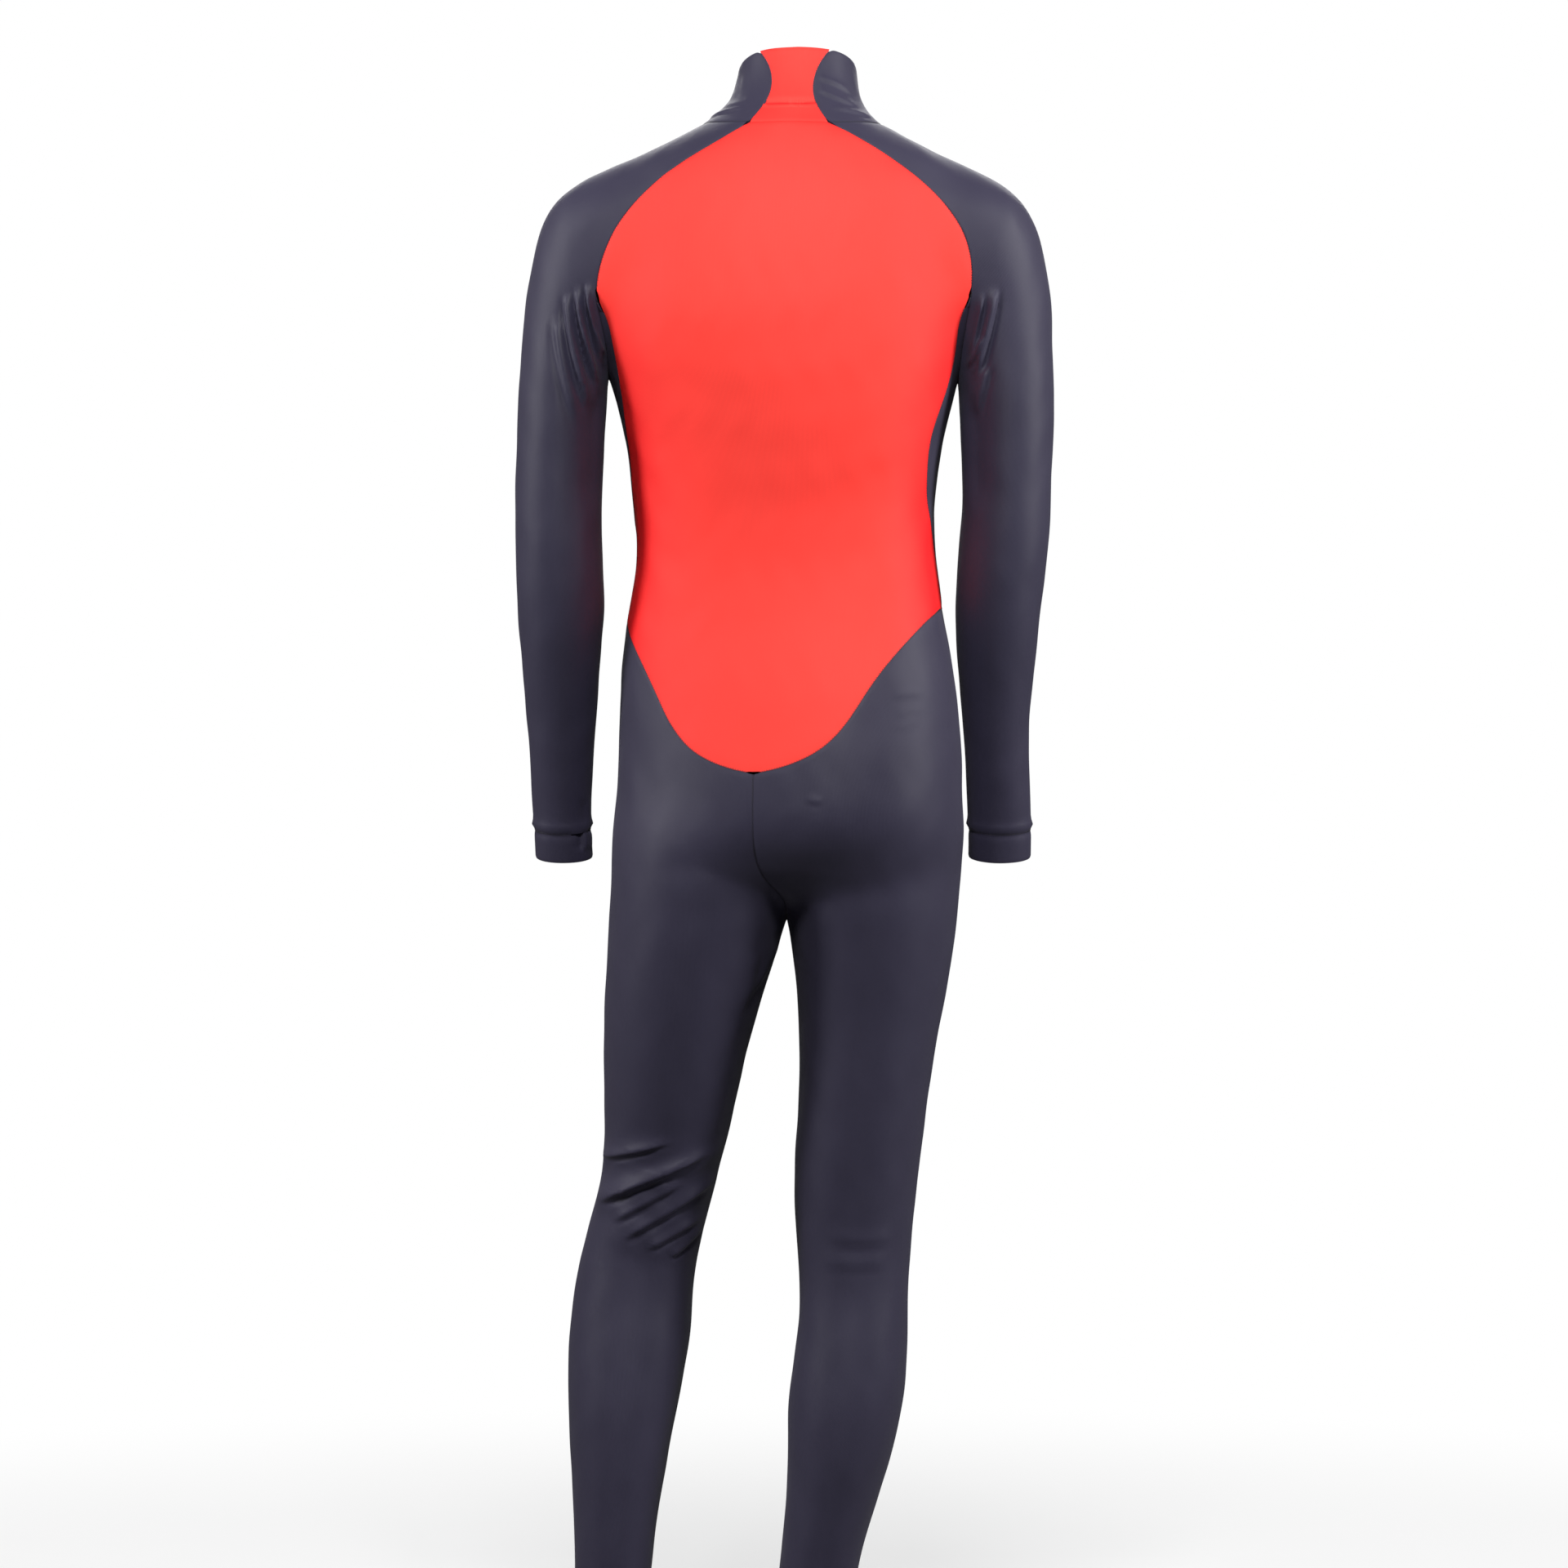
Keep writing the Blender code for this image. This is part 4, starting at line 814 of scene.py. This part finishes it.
def knit_group():
    """Shader group: the fine ribs and rows of a jersey, from the panel's flat cut."""
    tree = mask_group(
        "Jersey knit",
        [("Wale", "NodeSocketFloat", WALE), ("Course", "NodeSocketFloat", COURSE)],
        [("Height", "NodeSocketFloat"), ("Gap", "NodeSocketFloat")],
    )
    at = Nodes(tree)
    given = at.add("NodeGroupInput").outputs
    flat = at.add("ShaderNodeUVMap").outputs[0]
    place = at.add("ShaderNodeSeparateXYZ", {0: flat}).outputs
    noise = at.add("ShaderNodeTexNoise", {"Vector": flat, "Scale": WANDER_SCALE, "Detail": 1.0})
    wander = at.math("MULTIPLY", noise.outputs["Fac"], WANDER)
    across = at.math("ADD", at.math("DIVIDE", place[0], given["Wale"]), wander)
    along = at.math("DIVIDE", place[1], given["Course"])
    column = at.math("PINGPONG", across, 0.5)
    row = at.math("PINGPONG", at.math("ADD", along, at.math("MULTIPLY", column, ROW_SLANT)), 0.5)
    rib = at.math("SMOOTH_MIN", at.math("MULTIPLY", column, RIB_STEEP), RIB_FULL, RIB_ROUND)
    loop = at.math("MULTIPLY", row, ROW_SHARE)
    height = at.math("ADD", at.math("MULTIPLY", rib, RIB_SHARE), loop)
    gap = at.math("SUBTRACT", 1.0, at.math("MULTIPLY", rib, RIB_FULL))
    at.add("NodeGroupOutput", {0: height, 1: gap})
    return tree


def tone_group():
    """Shader group: slight differences in the dye, the stretch and the wear of cloth."""
    tree = mask_group(
        "Cloth tone",
        [("Light", "NodeSocketColor", None), ("Dark", "NodeSocketColor", None)],
        [("Color", "NodeSocketColor"), ("Wear", "NodeSocketFloat")],
    )
    at = Nodes(tree)
    given = at.add("NodeGroupInput").outputs
    place = at.add("ShaderNodeTexCoord").outputs["Object"]
    broad = at.add("ShaderNodeTexNoise", {"Vector": place, "Scale": DYE_BROAD, "Detail": 3.0})
    fine = at.add(
        "ShaderNodeTexNoise", {"Vector": place, "Scale": DYE_FINE, "Detail": 2.0, "Roughness": 0.7}
    )
    parts = [at.math("MULTIPLY", n.outputs["Fac"], part) for n, part in zip((broad, fine), DYE_SHARES)]
    share = at.math("ADD", *parts)
    low, high = DYE_RANGE
    spread = at.add("ShaderNodeMapRange", {0: share, 1: low, 2: high, 3: 0.0, 4: 1.0}).outputs[0]
    shade = mixed(at, spread, given["Dark"], given["Light"])
    at.add("NodeGroupOutput", {0: shade, 1: spread})
    return tree


def painted_sheen_and_shade_group():
    """Shader group: how much of a cloth's painted edge tone shows as it turns away from the eye, painted
    sheen on the grey jersey and painted shade on the red one.
    """
    tree = mask_group(
        "Painted sheen and edge shade",
        [
            ("Facing", "NodeSocketFloat", 0.0),
            ("Start", "NodeSocketFloat", 0.1),
            ("Strength", "NodeSocketFloat", 0.9),
        ],
        [("Mask", "NodeSocketFloat")],
    )
    at = Nodes(tree)
    given = at.add("NodeGroupInput").outputs
    mask = at.add(
        "ShaderNodeMapRange", {0: given["Facing"], 1: given["Start"], 2: 1.0, 3: 0.0, 4: 1.0}
    ).outputs[0]
    at.add("NodeGroupOutput", {0: at.math("MULTIPLY", mask, given["Strength"])})
    return tree


def new_material(name):
    """A material with only its Principled shader and output, and the means to add to it."""
    material = bpy.data.materials.new(name)
    material.use_nodes = True
    shader = material.node_tree.nodes["Principled BSDF"]
    return material, shader, Nodes(material.node_tree)


def link(material, source, shader, socket):
    """Feeds one of a material's shader inputs."""
    material.node_tree.links.new(source, shader.inputs[socket])


def dyed(at, tone, light, dark):
    """Places the dye's group with its two tones."""
    dye = at.add("ShaderNodeGroup", node_tree=tone)
    dye.inputs["Light"].default_value = (*light, 1)
    dye.inputs["Dark"].default_value = (*dark, 1)
    return dye


def jersey(name, light, dark, edge, turn, rough, sheen):
    """Material: a knit jersey, with a pair of close tones, a painted edge tone where it turns away from the
    eye (painted sheen on the grey, painted shade on the red), and painted shade in the gaps of its knit.
    """
    material, shader, at = new_material(name.capitalize())
    loops = at.add("ShaderNodeGroup", node_tree=knit)
    dye = dyed(at, tone, light, dark)
    start, strength = turn
    # Painted sheen and shade: where the cloth turns away from the eye its colour moves to the edge tone,
    # paler on the grey jersey and a deeper red on the red one
    facing = at.add("ShaderNodeLayerWeight", {"Blend": 0.5}).outputs["Facing"]
    turned = at.add("ShaderNodeGroup", node_tree=away)
    at.tree.links.new(facing, turned.inputs["Facing"])
    turned.inputs["Start"].default_value = start
    turned.inputs["Strength"].default_value = strength
    # pale is the dyed colour with that painted sheen and edge shade mixed in
    pale = mixed(at, turned.outputs[0], dye.outputs[0], edge)
    # Painted shade: the base colour is darkened in the gaps between the knit's ribs
    shade = at.math("MULTIPLY", loops.outputs["Gap"], PAINTED_GAP_SHADE)
    link(material, mixed(at, shade, pale, (0, 0, 0)), shader, "Base Color")
    worn = between(at, dye.outputs["Wear"], rough - 0.05, rough + 0.05)
    link(material, worn, shader, "Roughness")
    height = loops.outputs["Height"]
    relief = at.add("ShaderNodeBump", {"Strength": 0.6, "Distance": KNIT_DEPTH, "Height": height})
    link(material, relief.outputs[0], shader, "Normal")
    shader.inputs["Sheen Weight"].default_value = sheen
    shader.inputs["Sheen Roughness"].default_value = 0.4
    shader.inputs["Specular IOR Level"].default_value = 0.25
    return material


def tape_material():
    """Material: the woven tape of the zip, with slanting ribs."""
    material, shader, at = new_material("Zip tape")
    flat = at.add("ShaderNodeUVMap").outputs[0]
    place = at.add("ShaderNodeSeparateXYZ", {0: flat}).outputs
    along, across, weft_pitch = TAPE_PITCH
    slant = at.math("ADD", at.math("DIVIDE", place[1], along), at.math("DIVIDE", place[0], across))
    rib = at.math("PINGPONG", slant, 0.5)
    weft = at.math("PINGPONG", at.math("DIVIDE", place[0], weft_pitch), 0.5)
    height = at.math("ADD", rib, at.math("MULTIPLY", weft, 0.5))
    dye = dyed(at, tone, *TAPE_TONES)
    link(material, dye.outputs[0], shader, "Base Color")
    link(material, between(at, dye.outputs["Wear"], 0.68, 0.8), shader, "Roughness")
    relief = at.add("ShaderNodeBump", {"Strength": 0.7, "Distance": TAPE_DEPTH, "Height": height})
    link(material, relief.outputs[0], shader, "Normal")
    return material


def thread_material(name, light, dark):
    """Material: spun thread."""
    material, shader, at = new_material(name.capitalize())
    dye = dyed(at, tone, light, dark)
    link(material, dye.outputs[0], shader, "Base Color")
    link(material, between(at, dye.outputs["Wear"], 0.5, 0.65), shader, "Roughness")
    return material


def metal_material():
    """Material: blackened zinc, a little worn."""
    material, shader, at = new_material("Dark metal")
    place = at.add("ShaderNodeTexCoord").outputs["Object"]
    grain = at.add(
        "ShaderNodeTexNoise", {"Vector": place, "Scale": METAL_GRAIN, "Detail": 4.0, "Roughness": 0.6}
    ).outputs["Fac"]
    start, full = METAL_WEAR
    worn = at.add("ShaderNodeMapRange", {0: grain, 1: start, 2: full}).outputs[0]
    link(material, mixed(at, worn, *METAL_TONES), shader, "Base Color")
    link(material, between(at, worn, 0.42, 0.28), shader, "Roughness")
    relief = at.add("ShaderNodeBump", {"Strength": 0.25, "Distance": METAL_DEPTH, "Height": grain})
    link(material, relief.outputs[0], shader, "Normal")
    shader.inputs["Metallic"].default_value = 0.85
    return material


def floor_material():
    """Material: a plain pale floor that fades into the white surround."""
    material, shader, at = new_material("Studio floor")
    place = at.add("ShaderNodeTexCoord").outputs["Object"]
    noise = at.add("ShaderNodeTexNoise", {"Vector": place, "Scale": 3.0, "Detail": 4.0}).outputs["Fac"]
    away = at.vector("LENGTH", place)
    near, far = FLOOR_FADE
    fade = at.add(
        "ShaderNodeMapRange", {0: away, 1: near, 2: far}, interpolation_type="SMOOTHSTEP"
    ).outputs[0]
    plain = mixed(at, fade, mixed(at, noise, *FLOOR_TONES), (0, 0, 0))
    seen = at.add("ShaderNodeLightPath").outputs["Is Camera Ray"]
    link(material, mixed(at, seen, FLOOR_BELOW, plain), shader, "Base Color")
    link(material, at.math("MULTIPLY", fade, seen), shader, "Emission Strength")
    shader.inputs["Emission Color"].default_value = (1, 1, 1, 1)
    shader.inputs["Roughness"].default_value = 1.0
    shader.inputs["Specular IOR Level"].default_value = 0.0
    return material


# Materials
# away is the group that paints sheen and edge shade into the jerseys' colour
knit, tone, away = knit_group(), tone_group(), painted_sheen_and_shade_group()
MATERIALS = {name: jersey(name, *row) for name, row in JERSEYS.items()}
MATERIALS.update({name: thread_material(name, *row) for name, row in THREADS.items()})
MATERIALS["zip tape"] = tape_material()
MATERIALS["dark metal"] = metal_material()

# Cloth
layers = {node: shaped_panel(node) for node in PANELS}
close_seams()

# Threads, before the panels get their thickness
zigzag = zigzag_tree()
for number, (first, second, thread) in enumerate(SEAMS):
    line = seam_line(f"seam_{number + 1:02d}_thread", layers[first][0], layers[second][0])
    stitches = sewn(line, zigzag, STITCH, thread)
    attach(stitches, "suit")
for panel, height in HEM_ROWS:
    line = ring_line(f"{panel}_hem_thread", layers[panel][0], height)
    stitches = sewn(line, zigzag, HEM_STITCH, "grey thread")
    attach(stitches, "suit")

# Zip, whose teeth also need the tapes' open edges
line = middle_line("zip_teeth", ZIP_TOP, ZIP_BOTTOM)
pitch, *size, apart = ZIP_TEETH
metal = MATERIALS["dark metal"]
sizes = {"Pitch": pitch, "Size": tuple(size), "Stand off": apart, "Lift": TOOTH_LIFT}
teeth = grown(line, teeth_tree(), {**sizes, "Metal": metal})
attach(teeth, "suit")
for node in ("zip_slider", "zip_pull"):
    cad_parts[node].data.materials.clear()
    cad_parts[node].data.materials.append(metal)

# Thickness and materials
for node, (piece, cut, worn_area) in layers.items():
    give_thickness(piece)
    piece.data.materials.clear()
    piece.data.materials.append(MATERIALS[PANELS[node]])
    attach(piece, "suit")
    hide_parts(node)
    if PANELS[node] == "zip tape":
        continue

# View, light and floor
camera = bpy.data.objects.new("camera", bpy.data.cameras.new("camera"))
bpy.context.scene.collection.objects.link(camera)
camera.location = CAMERA_PLACE
camera.rotation_euler = np.radians((90, 0, 180))
camera.data.lens = CAMERA_LENS
camera.data.sensor_width = SENSOR
bpy.context.scene.camera = camera

floor_mesh = bpy.data.meshes.new("floor")
corners = [(x * FLOOR_HALF, y * FLOOR_HALF, 0) for x, y in ((-1, -1), (1, -1), (1, 1), (-1, 1))]
floor_mesh.from_pydata(corners, [], [(0, 1, 2, 3)])
floor_object = bpy.data.objects.new("floor", floor_mesh)
floor_object.location = (0, 0, FLOOR_HEIGHT)
bpy.context.scene.collection.objects.link(floor_object)
floor_mesh.materials.append(floor_material())
floor_object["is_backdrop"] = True

world = bpy.data.worlds.new("studio")
world.use_nodes = True
at = Nodes(world.node_tree)
background = world.node_tree.nodes["Background"]
background.inputs["Color"].default_value = (1, 1, 1, 1)
seen = at.add("ShaderNodeLightPath").outputs["Is Camera Ray"]
strength = at.add("ShaderNodeMapRange", {0: seen, 3: SURROUND, 4: 1.0}).outputs[0]
world.node_tree.links.new(strength, background.inputs["Strength"])
bpy.context.scene.world = world
bpy.context.scene.view_settings.view_transform = "Standard"

for name, place, target, size, power in LIGHTS:
    lamp = bpy.data.objects.new(name, bpy.data.lights.new(name, "AREA"))
    lamp.data.shape = "RECTANGLE"
    lamp.data.size, lamp.data.size_y = size
    lamp.data.energy = power
    lamp.location = place
    lamp.rotation_euler = (Vector(target) - Vector(place)).to_track_quat("-Z", "Y").to_euler()
    bpy.context.scene.collection.objects.link(lamp)

size = {"cad": [list(corner) for corner in CAD_BOX], "visual": [list(corner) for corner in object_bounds()]}
